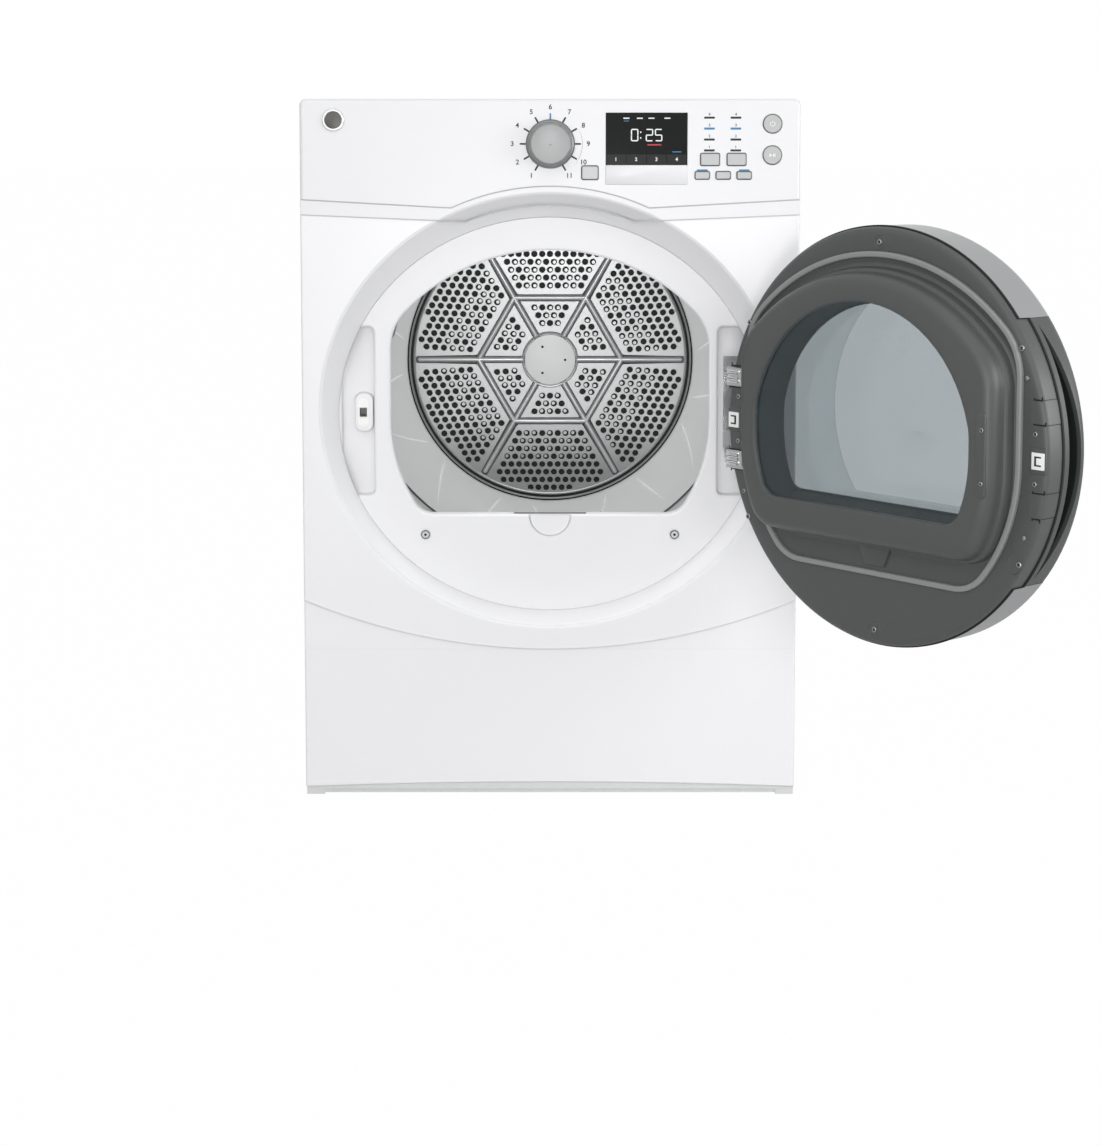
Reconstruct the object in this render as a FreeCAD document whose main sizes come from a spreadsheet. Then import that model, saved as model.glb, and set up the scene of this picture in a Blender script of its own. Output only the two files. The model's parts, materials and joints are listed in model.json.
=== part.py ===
import FreeCAD, Part
import math
import os
import Sketcher

# Front-loading clothes dryer, built as a set of separate pieces.
# Row frame: origin on the floor under the middle of the cabinet, +X to the right as seen
# from the front, +Y from the front to the back, +Z up.  Millimetres.
# Cabinet pieces are drawn with y counted back from the plane of the front panel, and
# their Placement then sets that plane at half the cabinet's depth before the origin.
# Door pieces are drawn shut, about the door's own centre, and their Placement swings them open.

Vector, Rotation, Placement = FreeCAD.Vector, FreeCAD.Rotation, FreeCAD.Placement
doc = FreeCAD.newDocument("ClothesDryer")
sheet = doc.addObject("Spreadsheet::Sheet", "Sizes")
cells = []
pieces = []


# ------------------------------------------------------------------ sizes with formulas

class Size:
    """A number together with the spreadsheet formula that gives it."""

    def __init__(self, number, formula):
        self.number, self.formula = number, formula

    def __add__(self, other):
        return Size(self.number + number(other), f"({self.formula} + {formula(other)})")

    def __sub__(self, other):
        return Size(self.number - number(other), f"({self.formula} - {formula(other)})")

    def __mul__(self, other):
        return Size(self.number * number(other), f"({self.formula} * {formula(other)})")

    def __truediv__(self, other):
        return Size(self.number / number(other), f"({self.formula} / {formula(other)})")

    def __radd__(self, other):
        return Size(other, formula(other)) + self

    def __rsub__(self, other):
        return Size(other, formula(other)) - self

    def __rmul__(self, other):
        return Size(other, formula(other)) * self

    def __rtruediv__(self, other):
        return Size(other, formula(other)) / self

    def __neg__(self):
        return self * -1


def number(amount):
    return float(amount.number) if isinstance(amount, Size) else float(amount)


def formula(amount):
    return amount.formula if isinstance(amount, Size) else f"({amount!r})"


def size(name, amount):
    """One driving dimension: a cell of the sheet with an alias."""
    cells.append(name)
    row = len(cells)
    sheet.set(f"A{row}", name)
    sheet.set(f"B{row}", str(amount))
    sheet.setAlias(f"B{row}", name)
    return Size(amount, f"Sizes.{name}")


def root(square):
    return Size(math.sqrt(number(square)), f"sqrt({formula(square)})")


def sine(degrees):
    return Size(math.sin(math.radians(number(degrees))), f"sin({formula(degrees)} * 1 deg)")


def cosine(degrees):
    return Size(math.cos(math.radians(number(degrees))), f"cos({formula(degrees)} * 1 deg)")


def bind(obj, path, amount):
    obj.setExpression(path, formula(amount))


def arc_cosine(share):
    return Size(math.degrees(math.acos(number(share))), f"(acos({formula(share)}) / 1 deg)")


def slope(rise):
    return Size(math.degrees(math.atan(number(rise))), f"(atan({formula(rise)}) / 1 deg)")


def on_circle(radius, degrees, x=0, z=0):
    return x + radius * cosine(degrees), z + radius * sine(degrees)


# ------------------------------------------------------------------ drawing helpers

PLANES = {"front": "XZ_Plane", "top": "XY_Plane", "side": "YZ_Plane"}


def body(label):
    made = doc.addObject("PartDesign::Body", label)
    made.Label = label
    return made


def sketch(on, view, offset=0):
    """Empty sketch seen from the front (x, z), top (x, y) or side (y, z), offset along +Y, +Z, +X."""
    made = on.newObject("Sketcher::SketchObject", f"{view}_sketch")
    plane = [o for o in on.Origin.OriginFeatures if o.Role == PLANES[view]][0]
    made.AttachmentSupport = (plane, "")
    made.MapMode = "FlatFace"
    lift = -offset if view == "front" else offset
    made.AttachmentOffset = Placement(Vector(0, 0, number(lift)), Rotation())
    bind(made, "AttachmentOffset.Base.z", lift)
    return made


def fix(drawn, kind, amount, *where):
    index = drawn.addConstraint(Sketcher.Constraint(kind, *where, number(amount)))
    bind(drawn, f"Constraints[{index}]", amount)


def fix_point(drawn, edge, end, x, y):
    fix(drawn, "DistanceX", x, -1, 1, edge, end)
    fix(drawn, "DistanceY", y, -1, 1, edge, end)


def arc_between(start, end, radius):
    """Minor arc; a positive radius bulges to the right of the way from start to end."""
    chord = end - start
    rise = math.sqrt(max(radius * radius - chord.Length ** 2 / 4, 0.0))
    left = Vector(-chord.y, chord.x, 0).normalize()
    centre = (start + end) / 2 + left * math.copysign(rise, radius)
    begin = math.atan2(start.y - centre.y, start.x - centre.x)
    finish = math.atan2(end.y - centre.y, end.x - centre.x)
    if radius < 0:
        begin, finish = finish, begin
    return Part.ArcOfCircle(Part.Circle(centre, Vector(0, 0, 1), abs(radius)), begin, finish)


def outline(drawn, *points):
    """Closed outline. A point is (x, y), or (x, y, r) where an arc of radius r arrives at it."""
    first = drawn.GeometryCount
    spots = [Vector(number(p[0]), number(p[1]), 0) for p in points]
    ends = []
    for k, point in enumerate(points):
        start, end = spots[k - 1], spots[k]
        if len(point) == 3:
            drawn.addGeometry(arc_between(start, end, number(point[2])), False)
            ends.append((1, 2) if number(point[2]) > 0 else (2, 1))
        else:
            drawn.addGeometry(Part.LineSegment(start, end), False)
            ends.append((1, 2))
    for k, point in enumerate(points):
        after = (k + 1) % len(points)
        fix_point(drawn, first + k, ends[k][1], point[0], point[1])
        drawn.addConstraint(Sketcher.Constraint(
            "Coincident", first + k, ends[k][1], first + after, ends[after][0]))
        if len(point) == 3:
            radius = point[2] if number(point[2]) > 0 else -point[2]
            fix(drawn, "Radius", radius, first + k)
    return drawn


def mirrored(*points):
    """Points of the right half, bottom to top, followed by the same points on the left."""
    turned = []
    arriving = None
    for point in reversed(points):
        turned.append((-point[0], point[1]) + ((arriving,) if arriving is not None else ()))
        arriving = point[2] if len(point) == 3 else None
    if number(points[-1][0]) == 0:
        turned = turned[1:]
    if number(points[0][0]) == 0:
        first = points[0][:2] + ((turned[-1][2],) if len(turned[-1]) == 3 else ())
        return [first] + list(points[1:]) + turned[:-1]
    return list(points) + turned


def rectangle(drawn, x0, y0, x1, y1):
    return outline(drawn, (x0, y0), (x1, y0), (x1, y1), (x0, y1))


def rounded(drawn, x0, y0, x1, y1, r):
    return outline(drawn, (x1 - r, y0), (x1, y0 + r, r), (x1, y1 - r), (x1 - r, y1, r),
                   (x0 + r, y1), (x0, y1 - r, r), (x0, y0 + r), (x0 + r, y0, r))


def circle(drawn, x, y, radius):
    index = drawn.addGeometry(Part.Circle(
        Vector(number(x), number(y), 0), Vector(0, 0, 1), number(radius)), False)
    fix_point(drawn, index, 3, x, y)
    fix(drawn, "Radius", radius, index)
    return drawn


def oval(drawn, x, y, half_width, half_height):
    """Ellipse that is wider than it is high."""
    middle = Vector(number(x), number(y), 0)
    index = drawn.addGeometry(Part.Ellipse(
        middle + Vector(number(half_width), 0, 0),
        middle + Vector(0, number(half_height), 0), middle), False)
    drawn.exposeInternalGeometry(index)
    fix_point(drawn, index, 3, x, y)
    fix(drawn, "Distance", 2 * half_width, index + 1)
    fix(drawn, "Distance", 2 * half_height, index + 2)
    drawn.addConstraint(Sketcher.Constraint("Horizontal", index + 1))
    return drawn


def feature(on, kind, drawn, length, reverse):
    made = on.newObject(f"PartDesign::{kind}", kind.lower())
    made.Profile = drawn
    made.Reversed = reverse
    bind(made, "Length", length)
    on.Tip = made
    drawn.Visibility = False
    return made


def is_front(drawn):
    return drawn.AttachmentSupport[0][0].Role == PLANES["front"]


def pad(on, drawn, length):
    """Adds material from the sketch towards +Y, +Z or +X."""
    return feature(on, "Pad", drawn, length, is_front(drawn))


def pocket(on, drawn, length):
    """Takes material away from the sketch towards +Y, +Z or +X."""
    return feature(on, "Pocket", drawn, length, not is_front(drawn))


def loft(on, kind, *sections):
    made = on.newObject(f"PartDesign::{kind}Loft", "loft")
    made.Profile = sections[0]
    made.Sections = list(sections[1:])
    on.Tip = made
    return made


def turn(on, kind, drawn, axis):
    """Revolution or Groove, all the way round one axis of the sketch."""
    made = on.newObject(f"PartDesign::{kind}", kind.lower())
    made.Profile = drawn
    made.ReferenceAxis = (drawn, [axis])
    made.Angle = 360
    on.Tip = made
    return made


def repeat_round(on, original, axis_role, count):
    made = on.newObject("PartDesign::PolarPattern", "ring_of_copies")
    made.Originals = [original]
    made.Axis = ([o for o in on.Origin.OriginFeatures if o.Role == axis_role][0], [""])
    made.Angle = 360
    made.Occurrences = count
    on.Tip = made
    return made


def repeat_line(on, original, axis_role, length, count, reverse=False):
    made = on.newObject("PartDesign::LinearPattern", "row_of_copies")
    made.Originals = [original]
    made.Direction = ([o for o in on.Origin.OriginFeatures if o.Role == axis_role][0], [""])
    made.Reversed = reverse
    bind(made, "Length", length)
    made.Occurrences = count
    on.Tip = made
    return made


def soften(on, kind, amount, chosen):
    """Fillet or Chamfer on the edges of the body for which chosen(box) is true."""
    doc.recompute()
    before = on.Tip
    names = [f"Edge{k + 1}" for k, edge in enumerate(before.Shape.Edges) if chosen(edge.BoundBox)]
    made = on.newObject(f"PartDesign::{kind}", kind.lower())
    made.Base = (before, names)
    bind(made, "Radius" if kind == "Fillet" else "Size", amount)
    on.Tip = made
    return made


def box(x0, x1, y0, y1, z0, z1):
    made = doc.addObject("Part::Box", "block")
    bind(made, "Length", x1 - x0)
    bind(made, "Width", y1 - y0)
    bind(made, "Height", z1 - z0)
    set_place(made, x0, y0, z0)
    return made


AXES = {"X": Rotation(Vector(0, 1, 0), 90), "Y": Rotation(Vector(1, 0, 0), -90), "Z": Rotation()}


def rod(axis, x, y, z, radius, length):
    """Cylinder that starts at a point and runs along +X, +Y or +Z."""
    made = doc.addObject("Part::Cylinder", "rod")
    made.Placement = Placement(Vector(), AXES[axis])
    bind(made, "Radius", radius)
    bind(made, "Height", length)
    set_place(made, x, y, z)
    return made


def tube(axis, x, y, z, outer, inner, length):
    return cut(rod(axis, x, y, z, outer, length), rod(axis, x, y, z, inner, length))


def ring(axis, x, y, z, radius, thickness):
    made = doc.addObject("Part::Torus", "ring")
    made.Placement = Placement(Vector(), AXES[axis])
    bind(made, "Radius1", radius)
    bind(made, "Radius2", thickness)
    set_place(made, x, y, z)
    return made


def fuse(*shapes):
    made = doc.addObject("Part::MultiFuse", "joined")
    made.Shapes = list(shapes)
    return made


def group(*shapes):
    """Separate solids that share one node, such as a set of equal screws."""
    made = doc.addObject("Part::Compound", "set")
    made.Links = list(shapes)
    return made


def cut(base, *tools):
    made = doc.addObject("Part::Cut", "trimmed")
    made.Base = base
    made.Tool = tools[0] if len(tools) == 1 else fuse(*tools)
    return made


def set_place(obj, x, y, z):
    obj.Placement = Placement(Vector(number(x), number(y), number(z)), obj.Placement.Rotation)
    for axis, amount in zip("xyz", (x, y, z)):
        bind(obj, f"Placement.Base.{axis}", amount)


def finish(label, made, x=0, y=0, z=0, swing=None):
    """Names a sub-part, puts it in the row frame and keeps it for the export."""
    made.Label = label
    if swing is not None:
        made.Placement = Placement(Vector(), Rotation(Vector(0, 0, 1), number(swing)))
        bind(made, "Placement.Rotation.Angle", swing)
    set_place(made, x, y, z)
    pieces.append(made)


def in_cabinet(label, made):
    finish(label, made, y=-cabinet_depth / 2)


def on_door(label, made):
    """Swings a door piece, drawn shut about the door's centre, open about the hinge pins."""
    c, s = cosine(door_open_angle), sine(door_open_angle)
    finish(label, made,
           x=hinge_x - hinge_x * c - liner_offset * s,
           y=hinge_y - cabinet_depth / 2 - hinge_x * s + liner_offset * c,
           z=door_height, swing=door_open_angle)


# ------------------------------------------------------------------ driving dimensions

cabinet_width = size("cabinet_width", 711)
cabinet_height = size("cabinet_height", 1010)
cabinet_depth = size("cabinet_depth", 760)
steel = size("steel_thickness", 1.2)
plastic = size("plastic_thickness", 2.5)
seam = size("panel_seam", 0.8)
edge_round = size("edge_rounding", 2.5)
panel_return = size("panel_return", 26)
corner_radius = size("corner_radius", 9)

fascia_side_z = size("fascia_side_height", 868)
fascia_kink_x = size("fascia_kink_x", 141)
fascia_arc = size("fascia_arc_radius", 337)
band_side_z = size("band_side_height", 845.3)
band_kink_x = size("band_kink_x", 120)
band_arc = size("band_arc_radius", 309.6)
arc_z = size("console_arc_height", 550)
fascia_depth = size("fascia_depth", 56)
top_lip = size("top_panel_lip", 20)

crease_side_z = size("crease_side_height", 289)
crease_arc = size("crease_arc_radius", 915)
crease_step = size("crease_step", 3)
panel_foot_z = size("front_panel_foot", 13)
panel_arch = size("front_panel_arch", 7)

cove_half_width = size("cove_half_width", 329)
cove_half_height = size("cove_half_height", 312.5)
cove_z = size("cove_centre_height", 564.7)
cove_floor_half_width = size("cove_floor_half_width", 306)
cove_floor_half_height = size("cove_floor_half_height", 287)
cove_floor_z = size("cove_floor_centre_height", 553.5)
cove_depth = size("cove_depth", 42)
cove_round = size("cove_rim_rounding", 5)

mouth_half_width = size("mouth_half_width", 231.8)
mouth_floor_z = size("mouth_floor_height", 407.5)
mouth_low_z = size("mouth_low_arc_height", 545)
mouth_top_arc = size("mouth_top_arc_radius", 290)
mouth_top_arc_z = size("mouth_top_arc_height", 503)
mouth_low_corner = size("mouth_low_corner_radius", 30)
mouth_top_corner = size("mouth_top_corner_radius", 80)
mouth_lip = size("mouth_lip_depth", 22)
mouth_round = size("mouth_rounding", 3)

bulkhead_wall = size("bulkhead_wall", 2)
pocket_inner_left = size("pocket_inner_left_x", 255)
pocket_inner_right = size("pocket_inner_right_x", 243)
pocket_outer = size("pocket_outer_x", 302)
pocket_low = size("pocket_low_height", 436)
pocket_high = size("pocket_high_height", 682)
pocket_depth = size("pocket_depth", 16)
latch_x = size("latch_x", -271.2)
latch_z = size("latch_height", 557)
latch_depth = size("latch_depth", 47)

door_height = size("door_centre_height", 562.3)
door_radius = size("door_radius", 280.4)
door_shoulder = size("door_shoulder_radius", 14)
door_open_angle = size("door_open_angle", 130.8)
door_shell = size("door_shell_depth", 82)
hinge_x = size("hinge_axis_x", 284.2)
hinge_y = size("hinge_axis_depth", -11.1)
liner_offset = size("hinge_to_liner", 47.1)
hinge_spacing = size("hinge_spacing", 117)
pin_radius = size("hinge_pin_radius", 3.5)
knuckle_radius = size("hinge_knuckle_radius", 5.8)
running_fit = size("running_fit", 0.05)

plug_inset = size("plug_inset", 5)
plug_taper = size("plug_taper", 5)
plug_depth = size("plug_depth", 42)
liner_wall = size("liner_wall", 3)
liner_radius = size("liner_radius", 279.7)
liner_rim = size("liner_rim_depth", 12)
ear_reach = size("ear_outer_radius", 276.5)
plug_floor = size("plug_floor_below_centre", 145)
plug_low_corner = size("plug_low_corner_radius", 48)
plug_round = size("plug_rounding", 9)
window_half_width = size("window_half_width", 187)
window_top_arc = size("window_top_arc_radius", 190)
window_floor = size("window_floor_below_centre", 92.5)
window_low_corner = size("window_low_corner_radius", 28)
seal_half_width = size("seal_half_width", 236.5)
seal_floor_z = size("seal_floor_height", 380)
seal_width = size("seal_width", 8)
ear_height = size("ear_half_height", 96)
ear_inner_x = size("ear_inner_x", 259)
ear_depth = size("ear_depth", 1.2)
strike_x = size("strike_x", 269.5)
strike_drop = size("strike_drop", 2.5)
hinge_gap = size("hinge_gap_half_height", 14)
grip_half_height = size("grip_half_height", 172)
grip_inner_x = size("grip_inner_x", 205)
grip_inner_radius = size("grip_inner_radius", 256)
grip_back = size("grip_back_depth", 32)
grip_front = size("grip_front_depth", 76)
channel_radius = size("channel_floor_radius", 259.5)
channel_back = size("channel_back_depth", 43.5)
channel_front = size("channel_front_depth", 67.5)
channel_half_height = size("channel_half_height", 164)
glass_dome = size("glass_dome", 6)

drum_z = size("drum_axis_height", 565.5)
drum_radius = size("drum_radius", 325)
drum_front = size("drum_front_depth", 76)
drum_rear = size("drum_rear_depth", 700)
drum_mouth = size("drum_mouth_radius", 300)
drum_plate = size("drum_plate_radius", 242)
drum_sheet = size("drum_sheet_thickness", 1.2)
rib_width = size("drum_rib_width", 12.7)
hexagon_radius = size("hexagon_corner_radius", 123)
baffle_angle = size("first_baffle_angle", 167)
collar_radius = size("collar_radius", 292)
shaft_radius = size("drum_shaft_radius", 9.95)

motor_x = size("motor_axis_x", -130)
motor_z = size("motor_axis_height", 150)
motor_shaft_radius = size("motor_shaft_radius", 6.3)
pulley_radius = size("motor_pulley_radius", 13)
belt_depth = size("belt_depth", 452)
belt_width = size("belt_width", 8)
belt_thickness = size("belt_thickness", 2.4)
idler_radius = size("idler_radius", 24)
duct_radius = size("exhaust_duct_radius", 50.8)
duct_x = size("exhaust_x", 80)
duct_z = size("exhaust_height", 112)
duct_stub = size("exhaust_stub", 20)

filter_half_width = size("filter_half_width", 50)
filter_front = size("filter_front_depth", 50)
filter_thickness = size("filter_thickness", 12)
filter_length = size("filter_length", 270)

belt_clear = size("belt_clearance", 0.5)
arm_x = size("idler_arm_pin_x", -45)
arm_z = size("idler_arm_pin_height", 95)
idler_x = size("idler_x", 3.9)
idler_z = size("idler_height", 172.5)
heater_radius = size("heater_radius", 255)
cord_hole = size("cord_hole_radius", 14)
pan_floor = size("pan_floor_height", 15.5)

foot_x = size("foot_x", 330)
foot_inset = size("foot_inset", 47)
foot_radius = size("foot_radius", 14)
foot_stem = size("foot_stem_radius", 4.95)

knob_x = size("knob_x", 0.5)
knob_z = size("knob_height", 946.5)
knob_radius = size("knob_radius", 33)
knob_shaft = size("knob_shaft_radius", 3)
screen_x = size("screen_x", 79)
screen_z = size("screen_foot", 915.6)
screen_width = size("screen_width", 116)
screen_height = size("screen_height", 75)
keypad_x = size("keypad_x", 246)
keypad_z = size("keypad_height", 924.6)
power_z = size("power_key_height", 975)
round_key = size("round_key_radius", 12.8)
board_depth = size("board_depth", 18)
badge_radius = size("badge_radius", 15.8)
button_gap = size("button_gap", 0.4)
button_proud = size("button_proud", 1.6)
doc.recompute()

half_width = cabinet_width / 2
inner_half_width = half_width - steel


# ------------------------------------------------------------------ cabinet shell

def make_base_pan():
    """Folded tray that carries the feet, motor and blower, with a skirt just off the floor."""
    low, floor, high, skirt_top = 3, 14, 60, 12.7
    x, front, back = half_width - 6, panel_return + 4, cabinet_depth - 8
    tray = box(-x, x, front, back, low, high)
    skirt = box(-x, x, 8, front + 1, low, skirt_top)
    corners = [box(x0, x0 + 26, 6, front + 1, 1, skirt_top)
               for x0 in (-half_width + 1, half_width - 27)]
    above = box(steel - x, x - steel, front + steel, back - steel, floor + steel, high + 1)
    below = box(steel - x, x - steel, front + steel, back - steel, low - 1, floor)
    stems = [rod("Z", side * foot_x, depth, low, foot_stem + running_fit, high)
             for side in (-1, 1) for depth in (foot_inset, cabinet_depth - foot_inset)]
    in_cabinet("base_pan", cut(fuse(tray, skirt, *corners), above, below, *stems))


def make_side_panel(label, side):
    """Steel side sheet with folded front and rear edges."""
    panel = body(label)
    front, back = panel_return + seam, cabinet_depth - steel - seam
    edge, fold = half_width, half_width - 16
    points = [(edge, front), (edge, back), (fold, back), (fold, back - steel),
              (edge - steel, back - steel), (edge - steel, front + steel),
              (fold, front + steel), (fold, front)]
    plan = sketch(panel, "top", panel_foot_z)
    outline(plan, *[(side * x, y) for x, y in points])
    pad(panel, plan, cabinet_height - top_lip - seam - panel_foot_z)
    step = sketch(panel, "side", -cabinet_width)
    rectangle(step, 0, fascia_side_z - 2 * seam, fascia_depth + seam, cabinet_height)
    pocket(panel, step, 2 * cabinet_width)
    in_cabinet(label, panel)


def make_rear_panel():
    """Flat steel back with louvres, the exhaust hole, the cable hole and the terminal opening."""
    panel = body("rear_panel")
    sheet_plan = sketch(panel, "front", cabinet_depth - steel)
    rectangle(sheet_plan, -inner_half_width, panel_foot_z, inner_half_width,
              cabinet_height - top_lip - seam)
    pad(panel, sheet_plan, steel)
    holes = sketch(panel, "front", cabinet_depth - steel)
    circle(holes, duct_x, duct_z, duct_radius + 1)
    rectangle(holes, 215, 840, 305, 930)
    pocket(panel, holes, steel)
    for x, z, count in ((-255, 640, 9), (150, 640, 9), (-60, 300, 5)):
        louvre = sketch(panel, "front", cabinet_depth - steel)
        rounded(louvre, x, z, x + 105, z + 5, 2.4)
        slot = pocket(panel, louvre, steel)
        repeat_line(panel, slot, "Z_Axis", 16 * (count - 1), count)
    in_cabinet("rear_panel", panel)


def make_top_panel():
    """Lid: flat top with a folded lip on its sides and back, rounded along its edges."""
    lid = body("top_panel")
    front = fascia_depth + seam
    plan = sketch(lid, "top", cabinet_height - top_lip)
    rounded(plan, -half_width, front, half_width, cabinet_depth, 4)
    pad(lid, plan, top_lip)
    soften(lid, "Fillet", 5, lambda b: b.ZMin > number(cabinet_height) - 0.01)
    inside = sketch(lid, "top", cabinet_height - top_lip)
    rectangle(inside, -inner_half_width, front + steel, inner_half_width, cabinet_depth - steel)
    pocket(lid, inside, top_lip - steel)
    in_cabinet("top_panel", lid)


def cut_cove(panel):
    """Cuts the oval dish that the door sits in."""
    rim = oval(sketch(panel, "front"), 0, cove_z, cove_half_width, cove_half_height)
    floor = oval(sketch(panel, "front", cove_depth), 0, cove_floor_z,
                 cove_floor_half_width, cove_floor_half_height)
    loft(panel, "Subtractive", rim, floor)


def middle_to_side(side_z, kink_x, arc, shift=0):
    """Right half of a seam that arches over the door and then runs out to the cabinet's side."""
    kink_z = arc_z + root(arc * arc - kink_x * kink_x)
    return [(0, arc_z + arc + shift), (kink_x, kink_z + shift, -arc), (half_width, side_z + shift)]


def side_to_middle(side_z, kink_x, arc, shift=0):
    middle, kink, side = middle_to_side(side_z, kink_x, arc, shift)
    return [side, kink[:2], (*middle, arc)]


def make_front_panel():
    """Pressed front: flat face, oval cove for the door, and a stepped toe below the crease."""
    panel = body("front_panel")
    crease_z = crease_side_z - crease_arc + root(crease_arc * crease_arc - half_width * half_width)
    over = arc_z + band_arc + 20
    arch = (half_width * half_width + panel_arch * panel_arch) / (2 * panel_arch)
    toe = sketch(panel, "front", crease_step)
    outline(toe, (0, panel_foot_z + panel_arch, -arch), (half_width, panel_foot_z, -arch),
            (half_width, crease_side_z + 30), (-half_width, crease_side_z + 30),
            (-half_width, panel_foot_z))
    pad(panel, toe, panel_return - crease_step)
    face = sketch(panel, "front")
    outline(face, *mirrored((0, crease_z), (half_width, crease_side_z, crease_arc),
                            (half_width, over)))
    pad(panel, face, panel_return)
    inside = half_width - steel
    hollow = sketch(panel, "front", steel)
    outline(hollow, *mirrored((0, crease_z + 3), (inside, crease_side_z + 3, crease_arc),
                              (inside, over)))
    pocket(panel, hollow, panel_return)
    low_hollow = sketch(panel, "front", crease_step + steel)
    rectangle(low_hollow, -inside, panel_foot_z + panel_arch + steel, inside, crease_z)
    pocket(panel, low_hollow, panel_return)
    rim = oval(sketch(panel, "front", steel / 2), 0, cove_z, cove_half_width + steel,
               cove_half_height + steel)
    floor = oval(sketch(panel, "front", cove_depth), 0, cove_floor_z,
                 cove_floor_half_width + steel, cove_floor_half_height + steel)
    loft(panel, "Additive", rim, floor)
    cut_cove(panel)
    soften(panel, "Fillet", cove_round, lambda b: b.YMax < 0.01 and b.XLength > 90
           and b.XMax < number(cove_half_width) + 1 and b.XMin > -number(cove_half_width) - 1)
    soften(panel, "Fillet", edge_round, lambda b: b.YMax < number(crease_step) + 0.01
           and b.XLength < 0.01 and b.ZLength > 200 and abs(b.XMax) > number(half_width) - 0.01)
    above = sketch(panel, "front")
    outline(above, *mirrored(*middle_to_side(band_side_z, band_kink_x, band_arc),
                             (half_width, over + 60)))
    pocket(panel, above, cove_depth + 1)
    in_cabinet("front_panel", panel)


def make_trim_band():
    """Plastic band between the fascia and the front panel, dished where it passes the cove."""
    band = body("front_trim_band")
    face = sketch(band, "front", seam)
    outline(face, *mirrored(*middle_to_side(band_side_z, band_kink_x, band_arc, seam),
                            *side_to_middle(fascia_side_z, fascia_kink_x, fascia_arc, -seam)))
    pad(band, face, panel_return - 6)
    cut_cove(band)
    soften(band, "Fillet", cove_round, lambda b: b.YMax < number(seam) + 0.01
           and b.XMin < -60 and b.XMax > 60 and b.ZMax < number(cove_z + cove_half_height))
    in_cabinet("front_trim_band", band)


# ------------------------------------------------------------------ control panel

def key_places():
    """Label, x, z, half width and half height of each key; a round key has no half height."""
    round_x = knob_x + 315
    return [("power_button", round_x, power_z, round_key, None),
            ("start_button", round_x, power_z - 44.3, round_key, None),
            ("temperature_button", keypad_x - 18.8, keypad_z, 13, 8.2),
            ("level_button", keypad_x + 18.8, keypad_z, 13, 8.2),
            ("option_button_left", keypad_x - 29.7, keypad_z - 22.6, 9.8, 5),
            ("option_button_middle", keypad_x, keypad_z - 22.6, 9.8, 5),
            ("option_button_right", keypad_x + 29.7, keypad_z - 22.6, 9.8, 5),
            ("add_time_button", knob_x + 56.2, keypad_z - 18.8, 11.2, 9.2)]


def draw_key(drawn, x, z, across, high, grow):
    if high is None:
        circle(drawn, x, z, across + grow)
    else:
        rounded(drawn, x - across - grow, z - high - grow, x + across + grow, z + high + grow, 2)


def make_fascia():
    """Moulded control panel: arched lower edge, rounded top, openings for every control."""
    fascia = body("control_fascia")
    face = sketch(fascia, "front")
    outline(face, *mirrored(*middle_to_side(fascia_side_z, fascia_kink_x, fascia_arc),
                            (half_width, cabinet_height - corner_radius),
                            (half_width - corner_radius, cabinet_height, corner_radius)))
    pad(fascia, face, fascia_depth)
    soften(fascia, "Fillet", 5, lambda b: b.YMax < 0.01 and b.ZMax > number(fascia_side_z) + 40)
    inset = half_width - plastic
    hollow = sketch(fascia, "front", plastic)
    middle, kink, side = middle_to_side(fascia_side_z, fascia_kink_x, fascia_arc, plastic)
    outline(hollow, *mirrored(
        middle, kink, (inset, side[1]), (inset, cabinet_height - corner_radius),
        (half_width - corner_radius, cabinet_height - plastic, corner_radius - plastic)))
    pocket(fascia, hollow, fascia_depth)
    holes = sketch(fascia, "front")
    circle(holes, knob_x, knob_z, knob_shaft + running_fit)
    rectangle(holes, screen_x, screen_z, screen_x + screen_width, screen_z + screen_height)
    for _, x, z, across, high in key_places():
        draw_key(holes, x, z, across, high, button_gap)
    pocket(fascia, holes, plastic)
    in_cabinet("control_fascia", fascia)


def make_screen():
    """Dark display window with a flange that holds it behind the fascia."""
    lens = body("display_lens")
    slack, flange = 0.2, 3
    face = sketch(lens, "front", -slack)
    rectangle(face, screen_x + slack, screen_z + slack, screen_x + screen_width - slack,
              screen_z + screen_height - slack)
    pad(lens, face, plastic + slack)
    back = sketch(lens, "front", plastic)
    rectangle(back, screen_x - flange, screen_z - flange, screen_x + screen_width + flange,
              screen_z + screen_height + flange)
    pad(lens, back, 1.5)
    in_cabinet("display_lens", lens)


def make_board():
    """Circuit board behind the fascia with the knob's encoder, relays and a ribbon socket."""
    front = board_depth
    board = box(-30, 335, front, front + 1.6, 893, 992)
    encoder = cut(box(knob_x - 9, knob_x + 9, front - 8, front, knob_z - 9, knob_z + 9),
                  rod("Y", knob_x, front - 9, knob_z, knob_shaft + running_fit, 12))
    relays = [box(60 + 34 * k, 88 + 34 * k, front + 1.6, front + 18, 900, 918) for k in range(4)]
    socket = box(250, 300, front + 1.6, front + 10, 965, 977)
    bore = rod("Y", knob_x, front - 1, knob_z, knob_shaft + running_fit, 4)
    in_cabinet("control_board", cut(fuse(board, encoder, socket, *relays), bore))


def make_badge():
    """Plain round disc with a raised rim in the corner of the fascia."""
    badge = body("badge_disc")
    section = sketch(badge, "top")
    outline(section, (0, -1.2), (badge_radius - 4, -1.2), (badge_radius - 3.4, -2.6),
            (badge_radius - 1, -2.6), (badge_radius, -1.6, 1.0), (badge_radius, 0), (0, 0))
    turn(badge, "Revolution", section, "V_Axis")
    finish("badge_disc", badge, x=-(half_width - 48.2), y=-cabinet_depth / 2, z=980.4)


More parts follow.
